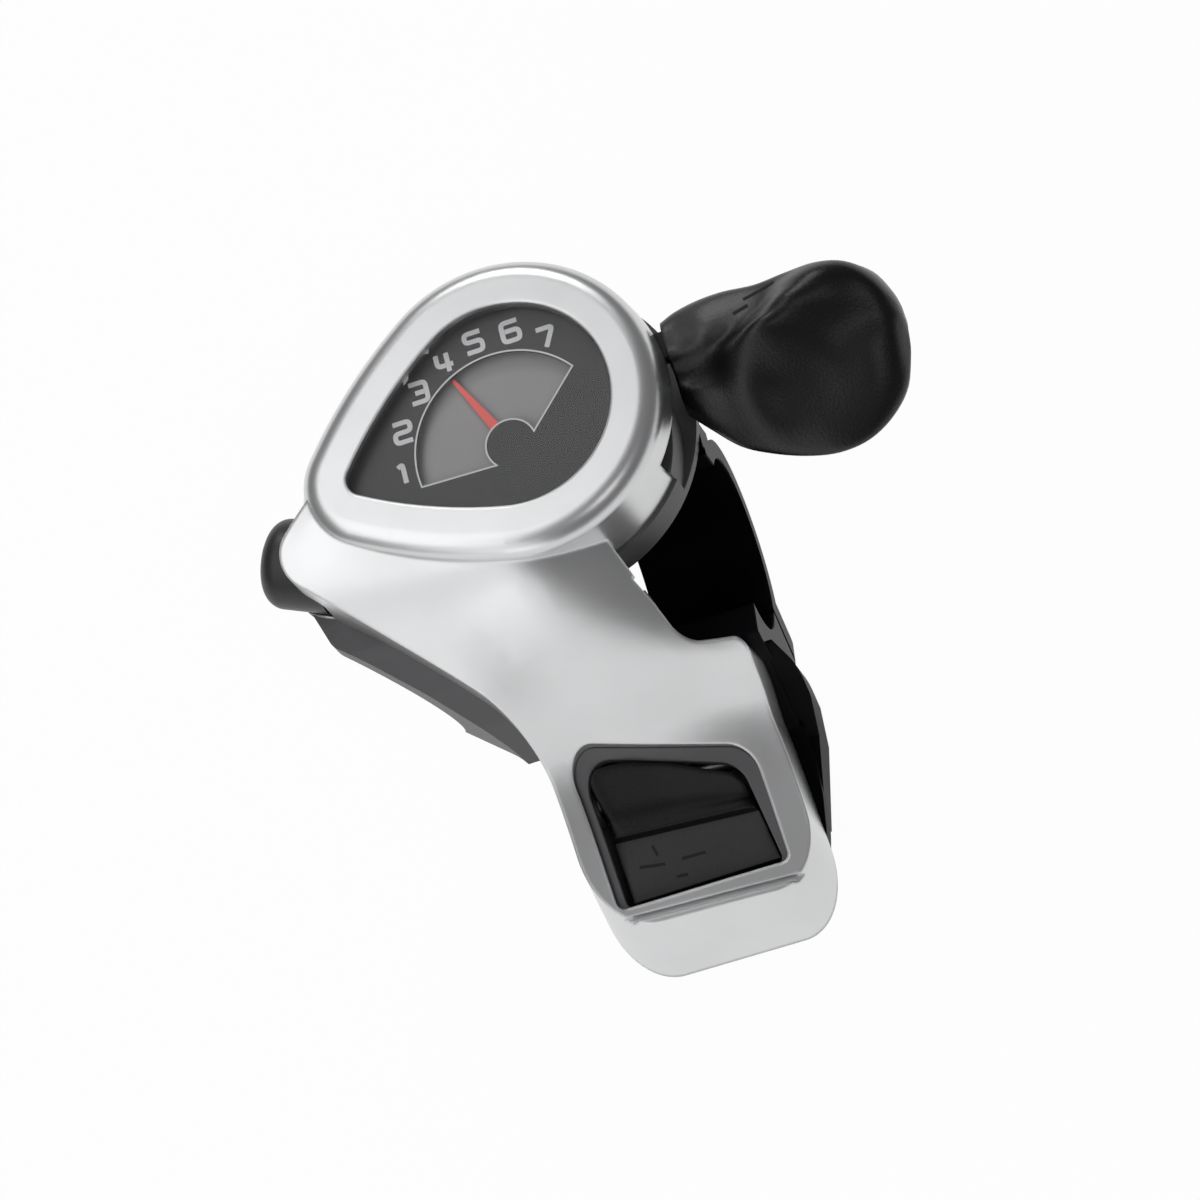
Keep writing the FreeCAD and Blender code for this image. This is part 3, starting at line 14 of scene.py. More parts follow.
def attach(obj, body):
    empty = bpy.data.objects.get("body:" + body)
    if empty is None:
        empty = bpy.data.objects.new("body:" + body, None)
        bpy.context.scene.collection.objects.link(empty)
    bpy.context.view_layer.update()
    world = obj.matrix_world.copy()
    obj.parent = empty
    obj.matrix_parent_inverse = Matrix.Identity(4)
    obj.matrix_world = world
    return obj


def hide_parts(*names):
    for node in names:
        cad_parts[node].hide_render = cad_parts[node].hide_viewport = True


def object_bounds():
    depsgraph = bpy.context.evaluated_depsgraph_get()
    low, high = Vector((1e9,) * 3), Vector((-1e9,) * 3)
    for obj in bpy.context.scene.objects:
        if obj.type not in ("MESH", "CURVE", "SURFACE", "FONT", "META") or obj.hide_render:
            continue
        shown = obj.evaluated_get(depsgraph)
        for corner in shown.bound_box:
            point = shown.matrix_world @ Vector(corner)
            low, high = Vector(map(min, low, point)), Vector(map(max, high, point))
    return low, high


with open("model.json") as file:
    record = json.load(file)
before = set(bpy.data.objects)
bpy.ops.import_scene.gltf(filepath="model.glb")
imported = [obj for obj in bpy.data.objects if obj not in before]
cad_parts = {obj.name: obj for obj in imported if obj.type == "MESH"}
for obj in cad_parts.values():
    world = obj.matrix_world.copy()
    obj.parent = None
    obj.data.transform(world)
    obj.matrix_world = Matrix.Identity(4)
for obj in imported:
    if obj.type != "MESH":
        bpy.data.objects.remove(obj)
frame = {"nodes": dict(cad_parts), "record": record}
cad_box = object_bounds()
nodes = frame["nodes"]
MM = 0.001
print("nodes", len(nodes), "box", cad_box)

# %% [markdown]
# The camera could be placed by eye, but two directions measured in the photograph fix it:
# the way to the lens, and where the handlebar's axis points in the picture.

# %% Camera
HUB = Vector((-13.0, 11.1, 27.0)) * MM
TO_LENS = Vector((0.159, -0.374, 0.9135)).normalized()
ROLL = math.radians(18.0)
PICTURE_WIDTH = 144.6 * MM
LENS_DISTANCE = 0.8
SENSOR_WIDTH = 36.0
MIDDLE_ALONG_BAR = 4.51
MIDDLE_BELOW_HUB = 21.6


def placed(across, above, towards, spot):
    """The place of a camera or lamp, from its three axes and its spot."""
    rows = [(across[k], above[k], towards[k], spot[k]) for k in range(3)]
    return Matrix(rows + [(0, 0, 0, 1)])


bar_across = (Vector((1, 0, 0)) - TO_LENS * TO_LENS.x).normalized()
bar_above = TO_LENS.cross(bar_across)
right = bar_across * math.cos(ROLL) - bar_above * math.sin(ROLL)
up = bar_across * math.sin(ROLL) + bar_above * math.cos(ROLL)
middle = HUB + bar_across * MIDDLE_ALONG_BAR * MM - bar_above * MIDDLE_BELOW_HUB * MM
eye = middle + TO_LENS * LENS_DISTANCE
camera_data = bpy.data.cameras.new("camera")
camera_data.sensor_width = SENSOR_WIDTH
camera_data.lens = SENSOR_WIDTH * LENS_DISTANCE / PICTURE_WIDTH
camera = bpy.data.objects.new("camera", camera_data)
camera.matrix_world = placed(right, up, TO_LENS, eye)
bpy.context.scene.collection.objects.link(camera)
bpy.context.scene.camera = camera
print("camera", [round(v, 3) for v in eye])

# %% [markdown]
# A pale floor and a few large soft lamps stand in for a photographer's table. The floor is
# mostly self-lit for the camera, so it stays white, and part of it still takes the shadow.

# %% Floor and light
scene = bpy.context.scene
scene.view_settings.view_transform = "Standard"
FLOOR_GLOW = 0.97
FLOOR_DROP = 2.0 * MM
FLOOR_HALF_WIDTH = 3.0
WORLD_TONE = (0.15, 0.15, 0.153, 1)


def new_material(name):
    """An empty finish with its tree and its shader."""
    finish = bpy.data.materials.new(name)
    finish.use_nodes = True
    tree = finish.node_tree
    return finish, tree, tree.nodes["Principled BSDF"]


def combined(tree, operation, first, second):
    """A math node on two sockets; gives the socket of its result."""
    step = tree.nodes.new("ShaderNodeMath")
    step.operation = operation
    tree.links.new(first, step.inputs[0])
    tree.links.new(second, step.inputs[1])
    return step.outputs[0]


def show_mix(tree, share, first, second):
    """Shows the first shader, and the second one by its share."""
    mix = tree.nodes.new("ShaderNodeMixShader")
    tree.links.new(share, mix.inputs["Fac"])
    tree.links.new(first, mix.inputs[1])
    tree.links.new(second, mix.inputs[2])
    tree.links.new(mix.outputs[0], tree.nodes["Material Output"].inputs["Surface"])


floor_finish, tree, shader = new_material("pale_floor")
shader.inputs["Base Color"].default_value = (0.93, 0.93, 0.93, 1)
shader.inputs["Roughness"].default_value = 0.9
glow = tree.nodes.new("ShaderNodeEmission")
rays = tree.nodes.new("ShaderNodeLightPath").outputs
seen = combined(tree, "MAXIMUM", rays["Is Camera Ray"], rays["Is Glossy Ray"])
seen = combined(tree, "MAXIMUM", seen, rays["Is Transmission Ray"])
glow_share = tree.nodes.new("ShaderNodeValue").outputs[0]
glow_share.default_value = FLOOR_GLOW
show_mix(tree, combined(tree, "MULTIPLY", seen, glow_share), shader.outputs[0], glow.outputs[0])

mesh = bpy.data.meshes.new("floor")
sheet = bmesh.new()
bmesh.ops.create_grid(sheet, x_segments=1, y_segments=1, size=FLOOR_HALF_WIDTH)
bmesh.ops.translate(sheet, verts=sheet.verts, vec=(0, 0, cad_box[0][2] - FLOOR_DROP))
sheet.to_mesh(mesh)
sheet.free()
floor = bpy.data.objects.new("floor", mesh)
floor.data.materials.append(floor_finish)
scene.collection.objects.link(floor)

world = bpy.data.worlds.new("studio")
world.use_nodes = True
world.node_tree.nodes["Background"].inputs["Color"].default_value = WORLD_TONE
world.node_tree.nodes["Background"].inputs["Strength"].default_value = 1.0
scene.world = world


def soft_lamp(name, offset, wide, tall, brightness):
    """A lamp that looks at the middle of the object; brightness 1 mirrors as white."""
    data = bpy.data.lights.new(name, "AREA")
    data.shape = "RECTANGLE"
    data.size = wide
    data.size_y = tall
    data.energy = math.pi * wide * tall * brightness
    lamp = bpy.data.objects.new(name, data)
    spot = middle + right * offset[0] + up * offset[1] + TO_LENS * offset[2]
    behind = (spot - middle).normalized()
    sideways = up.cross(behind).normalized()
    upwards = behind.cross(sideways)
    lamp.matrix_world = placed(sideways, upwards, behind, spot)
    scene.collection.objects.link(lamp)
    return lamp


soft_lamp("key", (-0.30, 0.06, 0.36), 0.24, 0.62, 1.65)
soft_lamp("sweep", (-0.38, -0.66, 0.60), 0.55, 0.60, 1.05)
soft_lamp("front", (0.22, 0.0, 1.10), 0.30, 0.30, 2.2)
soft_lamp("low", (-0.10, -0.95, 0.32), 0.45, 0.46, 1.4)
soft_lamp("rim", (-0.35, 0.90, 0.26), 0.40, 0.40, 4.5)
print("lamps set")

# %% [markdown]
# Each finish is made from noise in the piece's own space: a broad one shifts the colour and
# the gloss a little, and a fine one gives the surface its grain.

# %% Finishes
BROAD_SCALE = 90.0
BROAD_DETAIL = 3.0
FINE_DETAIL = 4.0
DRIFT_ENDS = (0.3, 0.7)
GLOSS_SPREAD = 0.12
GRAIN_DEPTH = 0.05
EDGE_SAMPLES = 6
COAT_ROUGHNESS = 0.12


def grained(name, colour, rough, metal, grain, bump, drift=0.08, coat=0.0, soften=0.0, shine=0.5):
    """A moulded or metal finish with a fine grain and a slow drift of tone."""
    finish, tree, shader = new_material(name)
    place = tree.nodes.new("ShaderNodeTexCoord").outputs["Object"]
    broad = tree.nodes.new("ShaderNodeTexNoise")
    broad.inputs["Scale"].default_value = BROAD_SCALE
    broad.inputs["Detail"].default_value = BROAD_DETAIL
    fine = tree.nodes.new("ShaderNodeTexNoise")
    fine.inputs["Scale"].default_value = grain
    fine.inputs["Detail"].default_value = FINE_DETAIL
    tree.links.new(place, broad.inputs["Vector"])
    tree.links.new(place, fine.inputs["Vector"])
    ramp = tree.nodes.new("ShaderNodeValToRGB")
    for end, position, change in zip(ramp.color_ramp.elements, DRIFT_ENDS, (-drift, drift)):
        end.position = position
        end.color = [min(c * (1 + change), 1) for c in colour] + [1]
    tree.links.new(broad.outputs["Fac"], ramp.inputs["Fac"])
    tree.links.new(ramp.outputs["Color"], shader.inputs["Base Color"])
    gloss = tree.nodes.new("ShaderNodeMapRange")
    gloss.inputs["To Min"].default_value = rough * (1 - GLOSS_SPREAD)
    gloss.inputs["To Max"].default_value = min(rough * (1 + GLOSS_SPREAD), 1.0)
    tree.links.new(fine.outputs["Fac"], gloss.inputs["Value"])
    tree.links.new(gloss.outputs[0], shader.inputs["Roughness"])
    relief = tree.nodes.new("ShaderNodeBump")
    relief.inputs["Strength"].default_value = bump
    relief.inputs["Distance"].default_value = GRAIN_DEPTH * MM
    if soften > 0:
        edges = tree.nodes.new("ShaderNodeBevel")
        edges.samples = EDGE_SAMPLES
        edges.inputs["Radius"].default_value = soften * MM
        tree.links.new(edges.outputs[0], relief.inputs["Normal"])
    tree.links.new(fine.outputs["Fac"], relief.inputs["Height"])
    tree.links.new(relief.outputs[0], shader.inputs["Normal"])
    shader.inputs["Metallic"].default_value = metal
    shader.inputs["Specular IOR Level"].default_value = shine
    shader.inputs["Coat Weight"].default_value = coat
    shader.inputs["Coat Roughness"].default_value = COAT_ROUGHNESS
    return finish


finishes = {
    "satin_silver": grained("silver_lacquer", (0.69, 0.695, 0.70), 0.31, 0.85, 5200.0, 0.10,
                            drift=0.03, coat=0.15, soften=0.6),
    "dark_grey": grained("dark_grey_moulding", (0.115, 0.113, 0.118), 0.5, 0.0, 3200.0, 0.35,
                         soften=0.3),
    "black_gloss": grained("black_clamp", (0.004, 0.004, 0.005), 0.36, 0.0, 1500.0, 0.08,
                           soften=0.4, shine=0.03),
    "black_grain": grained("black_grained_rubber", (0.004, 0.004, 0.0045), 0.36, 0.0, 2600.0, 0.7,
                           soften=0.5, shine=0.4),
    "black_steel": grained("black_painted_steel", (0.005, 0.005, 0.006), 0.4, 0.0, 2200.0, 0.2,
                           soften=0.2, shine=0.3),
    "barrel_black": grained("black_barrel", (0.018, 0.018, 0.019), 0.42, 0.0, 2600.0, 0.3),
    "steel": grained("zinc_steel", (0.55, 0.55, 0.56), 0.3, 1.0, 2200.0, 0.2),
    "bolt_steel": grained("dark_steel", (0.10, 0.10, 0.105), 0.36, 1.0, 2200.0, 0.2),
    "brass": grained("turned_brass", (0.72, 0.56, 0.25), 0.28, 1.0, 2200.0, 0.15),
    "dial_grey": grained("dial_sector_grey", (0.38, 0.38, 0.385), 0.6, 0.0, 3000.0, 0.1, drift=0.03),
    "mask_grey": grained("dial_mask_grey", (0.055, 0.055, 0.057), 0.55, 0.0, 3000.0, 0.1, drift=0.05),
    "needle_red": grained("needle_red", (1.0, 0.15, 0.13), 0.4, 0.0, 2000.0, 0.05, drift=0.03),
    "wire_steel": grained("wire_steel", (0.62, 0.62, 0.63), 0.3, 1.0, 2400.0, 0.3),
}

# %% [markdown]
# The lens is a clear moulding. A true glass shader would leave the dial dark, because lamps
# can't shine through it, so light passes straight on and only the reflection is added.

# %% Clear lens
LENS_INDEX = 1.2
lens_finish, tree, shader = new_material("clear_lens")
shader.inputs["Base Color"].default_value = (0.9, 0.9, 0.9, 1)
shader.inputs["Metallic"].default_value = 1.0
shader.inputs["Roughness"].default_value = 0.04
clear = tree.nodes.new("ShaderNodeBsdfTransparent")
edge = tree.nodes.new("ShaderNodeFresnel")
edge.inputs["IOR"].default_value = LENS_INDEX
show_mix(tree, edge.outputs[0], clear.outputs[0], shader.outputs[0])
finishes["lens_clear"] = lens_finish

# %% [markdown]
# The record names a material slot for every solid. Each finish above has the name of a slot, so
# one loop dresses them all.

# %% Dress the solids
for entry in frame["record"]["subparts"]:
    piece = nodes[entry["node"]]
    piece.data.materials.clear()
    piece.data.materials.append(finishes[entry["material_slot"]])

# %% [markdown]
# The thumb paddle is one flowing moulding with a flange, a ridge and a dish. Sculpting would do,
# but a skin drawn through closed sections keeps its shape exact: each row below gives x, then y and
# z over the top from the far edge to the near one. It stands for the plainer solid.


# %% Thumb paddle
def finished(name, shape, finish, body):
    """Turns a bmesh into a piece that rides on a body."""
    bmesh.ops.recalc_face_normals(shape, faces=shape.faces)
    mesh = bpy.data.meshes.new(name)
    shape.to_mesh(mesh)
    shape.free()
    piece = bpy.data.objects.new(name, mesh)
    piece.data.materials.append(finish)
    scene.collection.objects.link(piece)
    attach(piece, body)
    return piece


def curve_spot(before, start, end, after, t):
    """A spot on the smooth curve from start to end."""
    return 0.5 * (2 * start + (end - before) * t + (2 * before - 5 * start + 4 * end - after) * t ** 2
                  + (3 * start - before - 3 * end + after) * t ** 3)


SECTIONS = [
    (7.6, [(22.6, 19.0), (22.2, 21.3), (20.8, 22.4), (18.6, 22.5), (16.8, 22.45), (15.2, 20.6),
           (13.2, 20.2), (11.8, 19.4), (11.0, 17.4)]),
    (9.6, [(23.2, 19.2), (22.8, 21.6), (20.8, 22.5), (18.4, 22.55), (16.6, 22.5), (14.8, 20.4),
           (12.2, 21.0), (9.6, 19.8), (8.6, 17.2)]),
    (12.6, [(23.6, 19.4), (23.1, 22.1), (20.8, 23.3), (18.2, 23.6), (16.6, 22.8), (14.6, 21.6),
            (11.0, 21.6), (7.2, 19.2), (5.4, 16.9)]),
    (16.0, [(23.6, 19.6), (23.1, 22.2), (20.6, 23.2), (18.6, 23.4), (17.0, 23.2), (14.4, 25.2),
            (10.4, 22.6), (5.5, 19.2), (3.4, 16.6)]),
    (20.0, [(23.1, 19.8), (22.6, 22.4), (20.9, 23.2), (19.0, 23.8), (17.2, 25.8), (14.9, 27.2),
            (10.0, 21.8), (4.3, 18.6), (1.8, 16.3)]),
    (24.0, [(23.3, 20.0), (22.8, 22.6), (21.7, 23.9), (19.8, 25.9), (17.4, 27.4), (14.4, 25.8),
            (9.4, 21.2), (3.4, 18.4), (0.9, 16.3)]),
    (28.0, [(23.1, 20.2), (22.6, 23.0), (21.5, 25.3), (19.6, 26.8), (17.0, 26.4), (13.6, 23.8),
            (9.0, 21.2), (3.8, 18.6), (1.3, 16.4)]),
    (31.6, [(21.9, 20.2), (21.5, 22.8), (20.7, 24.8), (19.0, 25.6), (16.6, 24.8), (13.6, 23.0),
            (9.8, 21.6), (5.4, 19.2), (3.1, 16.9)]),
    (34.3, [(20.0, 19.8), (19.6, 21.7), (18.6, 23.3), (17.2, 23.9), (15.6, 23.4), (13.6, 22.4),
            (11.2, 21.4), (7.8, 19.4), (5.9, 17.5)]),
    (35.8, [(17.2, 19.2), (16.9, 20.4), (16.3, 21.2), (15.4, 21.6), (14.6, 21.5), (13.7, 21.2),
            (12.8, 20.6), (11.1, 19.2), (9.7, 18.0)]),
    (36.3, [(15.2, 18.9), (15.1, 19.3), (14.8, 19.6), (14.4, 19.8), (14.0, 19.8), (13.6, 19.7),
            (13.2, 19.5), (12.8, 19.1), (12.6, 18.7)])]
UNDERSIDE = 15.4
END_UNDERSIDE = 18.0
NEAR_EDGE_HEIGHT = 0.6
MIDDLE_SAG = 0.1
FAR_RISE = 0.5
EDGE_WIDTH = 1.8
CURVE_STEPS = 5


def section_ring(x, top):
    """A closed section: the top as given, and a nearly flat underside."""
    far, near = top[0], top[-1]
    low = END_UNDERSIDE if x > SECTIONS[-3][0] else min(UNDERSIDE, near[1] - NEAR_EDGE_HEIGHT)
    edge = min(EDGE_WIDTH, (far[0] - near[0]) / 4)
    under = [(near[0] + edge, low), ((far[0] + near[0]) / 2, low - MIDDLE_SAG),
             (far[0] - edge, low + FAR_RISE)]
    return [Vector((x, y, z)) for y, z in top + under]


def skin_through(sections):
    """A smooth closed skin through rings of spots, with a flat face at each end."""
    count = len(sections[0])
    main = []
    for spots in sections:
        ring = []
        for k in range(count):
            four = [spots[k - 1], spots[k], spots[(k + 1) % count], spots[(k + 2) % count]]
            ring += [curve_spot(*four, step / CURVE_STEPS) for step in range(CURVE_STEPS)]
        main.append(ring)
    last = len(main) - 1
    rings = []
    for k in range(last):
        four = [main[max(k - 1, 0)], main[k], main[k + 1], main[min(k + 2, last)]]
        for step in range(CURVE_STEPS):
            rings.append([curve_spot(*spots, step / CURVE_STEPS) for spots in zip(*four)])
    rings.append(main[-1])
    skin = bmesh.new()
    rows = [[skin.verts.new(spot * MM) for spot in ring] for ring in rings]
    for one, two in zip(rows, rows[1:]):
        for k in range(len(one)):
            skin.faces.new((one[k - 1], one[k], two[k], two[k - 1])).smooth = True
    for row in (rows[0], rows[-1]):
        skin.faces.new(row)
    return skin


skin = skin_through([section_ring(x, top) for x, top in SECTIONS])
print("paddle faces", len(skin.faces))

# The flange faces the light, so a paler tone is painted on it: a painted highlight, which the dish does
# not get. The painted highlight fades out along two axes: each row gives the axis, where the fade starts
# and ends, and its share at both ends.
FLANGE_PAINTED_HIGHLIGHT = (0.06, 0.06, 0.061, 1)
FLANGE_HIGHLIGHT_FADES = [("Y", 16.4, 19.0, 0.0, 1.0), ("X", 19.0, 26.0, 1.0, 0.0)]
# A Mix node has sockets for numbers, vectors and colours, and only the colour ones are used
COLOUR_A = 6
COLOUR_B = 7
COLOUR_RESULT = 2
# The paddle's rubber finish, carrying the painted highlight on its flange
paddle_finish_with_highlight = grained("paddle_rubber_painted_highlight", (0.004, 0.004, 0.0045), 0.36, 0.0, 2600.0, 0.7,
                        soften=0.5, shine=0.4)
tree = paddle_finish_with_highlight.node_tree
shader = tree.nodes["Principled BSDF"]
place = next(node for node in tree.nodes if node.type == "TEX_COORD")
axes = tree.nodes.new("ShaderNodeSeparateXYZ")
tree.links.new(place.outputs["Object"], axes.inputs[0])
fades = []
for axis, start, end, low, high in FLANGE_HIGHLIGHT_FADES:
    fade = tree.nodes.new("ShaderNodeMapRange")
    fade.interpolation_type = "SMOOTHSTEP"
    fade.inputs["From Min"].default_value = start * MM
    fade.inputs["From Max"].default_value = end * MM
    fade.inputs["To Min"].default_value = low
    fade.inputs["To Max"].default_value = high
    tree.links.new(axes.outputs[axis], fade.inputs["Value"])
    fades.append(fade.outputs[0])
# Mixes the painted highlight into the paddle's base colour, by the share of both fades
tone = tree.nodes.new("ShaderNodeMix")
tone.data_type = "RGBA"
colour_in = shader.inputs["Base Color"].links[0].from_socket
tree.links.new(combined(tree, "MULTIPLY", *fades), tone.inputs["Factor"])
tree.links.new(colour_in, tone.inputs[COLOUR_A])
tone.inputs[COLOUR_B].default_value = FLANGE_PAINTED_HIGHLIGHT
tree.links.new(tone.outputs[COLOUR_RESULT], shader.inputs["Base Color"])
paddle = finished("paddle_skin", skin, paddle_finish_with_highlight, "thumb_lever")
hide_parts("lever_paddle")

# %% [markdown]
# The release button is a block with a thumb scoop that ends in a lip, and a grained ledge below it.
# A flat-sided solid lacks its rounded sides, so the same skin is drawn through side views: each
# station gives x, the top edge's y and z, and how far the rounded side falls there.

# %% Release button
STATIONS = [(-19.2, -22.9, -3.0, 1.1), (-19.0, -22.4, -2.6, 0.5), (-18.5, -21.95, -2.3, 0.12),
            (-17.4, -21.6, -2.1, 0.0), (-14.0, -21.8, -2.4, 0.0), (-11.0, -22.5, -3.3, 0.0),
            (-8.0, -23.4, -4.1, 0.0), (-5.0, -24.6, -5.2, 0.0), (-2.9, -25.4, -5.8, 0.0),
            (-2.0, -26.0, -6.2, 0.12), (-1.5, -26.5, -6.5, 0.5), (-1.3, -26.9, -6.8, 1.1)]
LIP_LEFT_Y = -28.5
LIP_RIGHT_Y = -30.0
LIP_Z = -8.2
LIP_FALL = 2.0
LEDGE_END_Y = -36.0
LEDGE_END_Z = -12.6
SCOOP_DEPTH = 0.24
DIP_SHARE = 0.55
SIDE_SPREAD = 0.14
SPREAD_FROM_Y = -26.0
BACK_HEIGHT = 3.0
TOP_ROUND_Y = 0.45
TOP_ROUND_Z = 0.5
BOTTOM_STEP_Y = 2.0
BOTTOM_Z = -10.4
# Round the lip: y and z from its edge, and the share of the rounded side's fall
LIP_LINE = [(0.8, 0.0, 1.0), (0.15, -0.1, 1.0), (-0.1, -0.7, 0.6), (-0.15, 0.15 - LIP_FALL, 0.0),
            (-0.6, -0.1 - LIP_FALL, 0.0)]
# Along the ledge, round its end and back below: y, z and the share of that fall
LEDGE_LINE = [(-33.0, -11.45, 0.3), (LEDGE_END_Y + 0.5, LEDGE_END_Z + 0.1, 0.3),
              (LEDGE_END_Y, LEDGE_END_Z - 0.3, 0.0), (LEDGE_END_Y, LEDGE_END_Z - 1.6, 0.0),
              (-31.0, -13.0, 0.0)]
LEDGE_MARGIN = 0.1
LEDGE_FLATNESS = 0.7


def button_ring(x, top_y, top_z, fall):
    """A side view of the button, from the back over the scoop, the lip and the ledge."""
    share = (x - STATIONS[0][0]) / (STATIONS[-1][0] - STATIONS[0][0])
    lip_y = LIP_LEFT_Y + (LIP_RIGHT_Y - LIP_LEFT_Y) * share
    dip_y = top_y * (1 - DIP_SHARE) + lip_y * DIP_SHARE
    dip_z = top_z * (1 - DIP_SHARE) + LIP_Z * DIP_SHARE - SCOOP_DEPTH * (top_y - lip_y)
    line = [(top_y, top_z - BACK_HEIGHT), (top_y, top_z - TOP_ROUND_Z - fall),
            (top_y - TOP_ROUND_Y, top_z - fall), (dip_y, dip_z - fall)]
    line += [(lip_y + y, LIP_Z + z - fall * part) for y, z, part in LIP_LINE]
    line += [(y, z - fall * part) for y, z, part in LEDGE_LINE]
    line.append((top_y - BOTTOM_STEP_Y, BOTTOM_Z))
    return [Vector((x + share * SIDE_SPREAD * max(SPREAD_FROM_Y - y, 0.0), y, z)) for y, z in line]


block = skin_through([button_ring(*station) for station in STATIONS])
block.normal_update()
# The ledge's upward faces take the second, paler finish: its grain is real, and its paler colour is
# partly that grain and partly a painted highlight where light falls on them
for face in block.faces:
    height = face.calc_center_median().z / MM
    on_lit_ledge = height < LIP_Z - LIP_FALL + LEDGE_MARGIN and abs(face.normal.z) > LEDGE_FLATNESS
    face.material_index = 1 if on_lit_ledge else 0
print("button faces", len(block.faces))
block_finish = grained("button_block", (0.003, 0.003, 0.0032), 0.40, 0.0, 2600.0, 0.6,
                       soften=0.4, shine=0.22)
# Paler ledge colour: partly the grain, partly a painted highlight
ledge_grain_and_highlight = grained("button_ledge_grain_and_highlight", (0.035, 0.035, 0.036), 0.55, 0.0, 2200.0, 0.9,
                       drift=0.1, soften=0.3, shine=0.4)
button = finished("button_skin", block, block_finish, "button_body")
button.data.materials.append(ledge_grain_and_highlight)
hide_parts("release_button")

# %% [markdown]
# The clamp's fixed jaw carries a rib beside the tail. On the real one the rib fades into the tail
# sooner and lies close against it, so a copy of the jaw is trimmed by two planes, gets a wedge
# under the tail's edge and stands for it.

# %% Clamp jaw
# Each trim: a spot on the plane, and the way to the side that goes
TRIMS = [((9.3, -20.5, 0.0), (0.957, -0.29, 0.0)), ((0.0, -35.5, 0.0), (0.0, -1.0, 0.0))]
SHARP_ANGLE = math.radians(28.0)
JOIN_DISTANCE = 0.002
WEDGE_INNER = 4.1
# Rows of the wedge: y, outer x, top z and depth
WEDGE_ROWS = [(-21.5, 7.4, -9.2, 4.4), (-25.0, 7.4, -12.3, 4.0), (-29.0, 6.8, -14.8, 3.4),
              (-33.0, 5.7, -17.2, 2.4), (-36.0, 4.8, -19.1, 1.2)]
jaw = bmesh.new()
jaw.from_mesh(nodes["clamp_jaw"].data)
bmesh.ops.remove_doubles(jaw, verts=jaw.verts, dist=JOIN_DISTANCE * MM)
for spot, away in TRIMS:
    everything = jaw.verts[:] + jaw.edges[:] + jaw.faces[:]
    bmesh.ops.bisect_plane(jaw, geom=everything, plane_co=Vector(spot) * MM, plane_no=away,
                           clear_outer=True)
    openings = [edge for edge in jaw.edges if edge.is_boundary]
    bmesh.ops.holes_fill(jaw, edges=openings, sides=0)
wedge = []
for y, outer, top, depth in WEDGE_ROWS:
    corners = ((WEDGE_INNER, top), (outer, top), (outer, top - depth), (WEDGE_INNER, top - depth))
    wedge.append([jaw.verts.new(Vector((x, y, z)) * MM) for x, z in corners])
for one, two in zip(wedge, wedge[1:]):
    for k in range(len(one)):
        jaw.faces.new((one[k - 1], one[k], two[k], two[k - 1]))
jaw.faces.new(wedge[0])
jaw.faces.new(wedge[-1])
bmesh.ops.recalc_face_normals(jaw, faces=jaw.faces)
for face in jaw.faces:
    face.smooth = True
for edge in jaw.edges:
    edge.smooth = edge.is_manifold and edge.calc_face_angle() < SHARP_ANGLE
print("jaw open edges", sum(edge.is_boundary for edge in jaw.edges), "faces", len(jaw.faces))
jaw_piece = finished("trimmed_jaw", jaw, finishes["black_gloss"], "housing")
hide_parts("clamp_jaw")

# %% [markdown]
# Printing, and the painted shade of pressed grooves, are thin films made of strokes of even width. A
# font would give its own shapes, while strokes drawn as paths keep the plain squared figures of an
# instrument dial. A film can lie flat on the dial or follow a curved piece, found by looking straight
# down at it.

# %% Films made of strokes
FILM_THICKNESS = 0.04
FILM_LIFT = 0.01
LOOK_FROM_HEIGHT = 60
MITRE_LIMIT = 0.3


def softened(path, cut, steps=4):
    """Rounds the inner corners of a path."""
    spots = [Vector(p) for p in path]
    smooth = [spots[0]]
    for before, here, after in zip(spots, spots[1:], spots[2:]):
        start = here + (before - here).normalized() * min(cut, (before - here).length / 2)
        end = here + (after - here).normalized() * min(cut, (after - here).length / 2)
        for step in range(steps + 1):
            t = step / steps
            smooth.append(start * (1 - t) ** 2 + here * 2 * t * (1 - t) + end * t ** 2)
    return smooth + [spots[-1]]


def stroke(film, path, width, closed=False, shift=0.0):
    """Adds a flat strip along a path; shift moves it to the path's left."""
    count = len(path)
    sides = []
    for index, here in enumerate(path):
        before = path[index - 1] if closed or index > 0 else None
        after = path[(index + 1) % count] if closed or index < count - 1 else None
        ahead = (after - here).normalized() if after is not None else (here - before).normalized()
        behind = (here - before).normalized() if before is not None else ahead
        first = Vector((-behind.y, behind.x))
        across = (first + Vector((-ahead.y, ahead.x))).normalized()
        across /= max(across.dot(first), MITRE_LIMIT)
        sides.append([film.verts.new(((here + across * reach) * MM).to_3d())
                      for reach in (shift + width / 2, shift - width / 2)])
    for index in range(count if closed else count - 1):
        one = sides[index]
        two = sides[(index + 1) % count]
        film.faces.new((one[0], one[1], two[1], two[0]))


def film_piece(name, paths, width, finish, body, flat=None, onto=None, closed=False, shift=0.0):
    """Strokes as one film, flat at a height or laid on a piece, with a little thickness."""
    film = bmesh.new()
    for path in paths:
        stroke(film, path, width, closed, shift)
    for corner in film.verts:
        if onto is None:
            corner.co.z = flat * MM
        else:
            above = Vector((corner.co.x, corner.co.y, LOOK_FROM_HEIGHT * MM))
            met = onto.ray_cast(above, Vector((0, 0, -1)))[1]
            corner.co.z = met.z + FILM_LIFT * MM
    raised = bmesh.ops.extrude_face_region(film, geom=film.faces[:], use_keep_orig=True)
    tops = [item for item in raised["geom"] if isinstance(item, bmesh.types.BMVert)]
    bmesh.ops.translate(film, verts=tops, vec=(0, 0, FILM_THICKNESS * MM))
    return finished(name, film, finish, body)

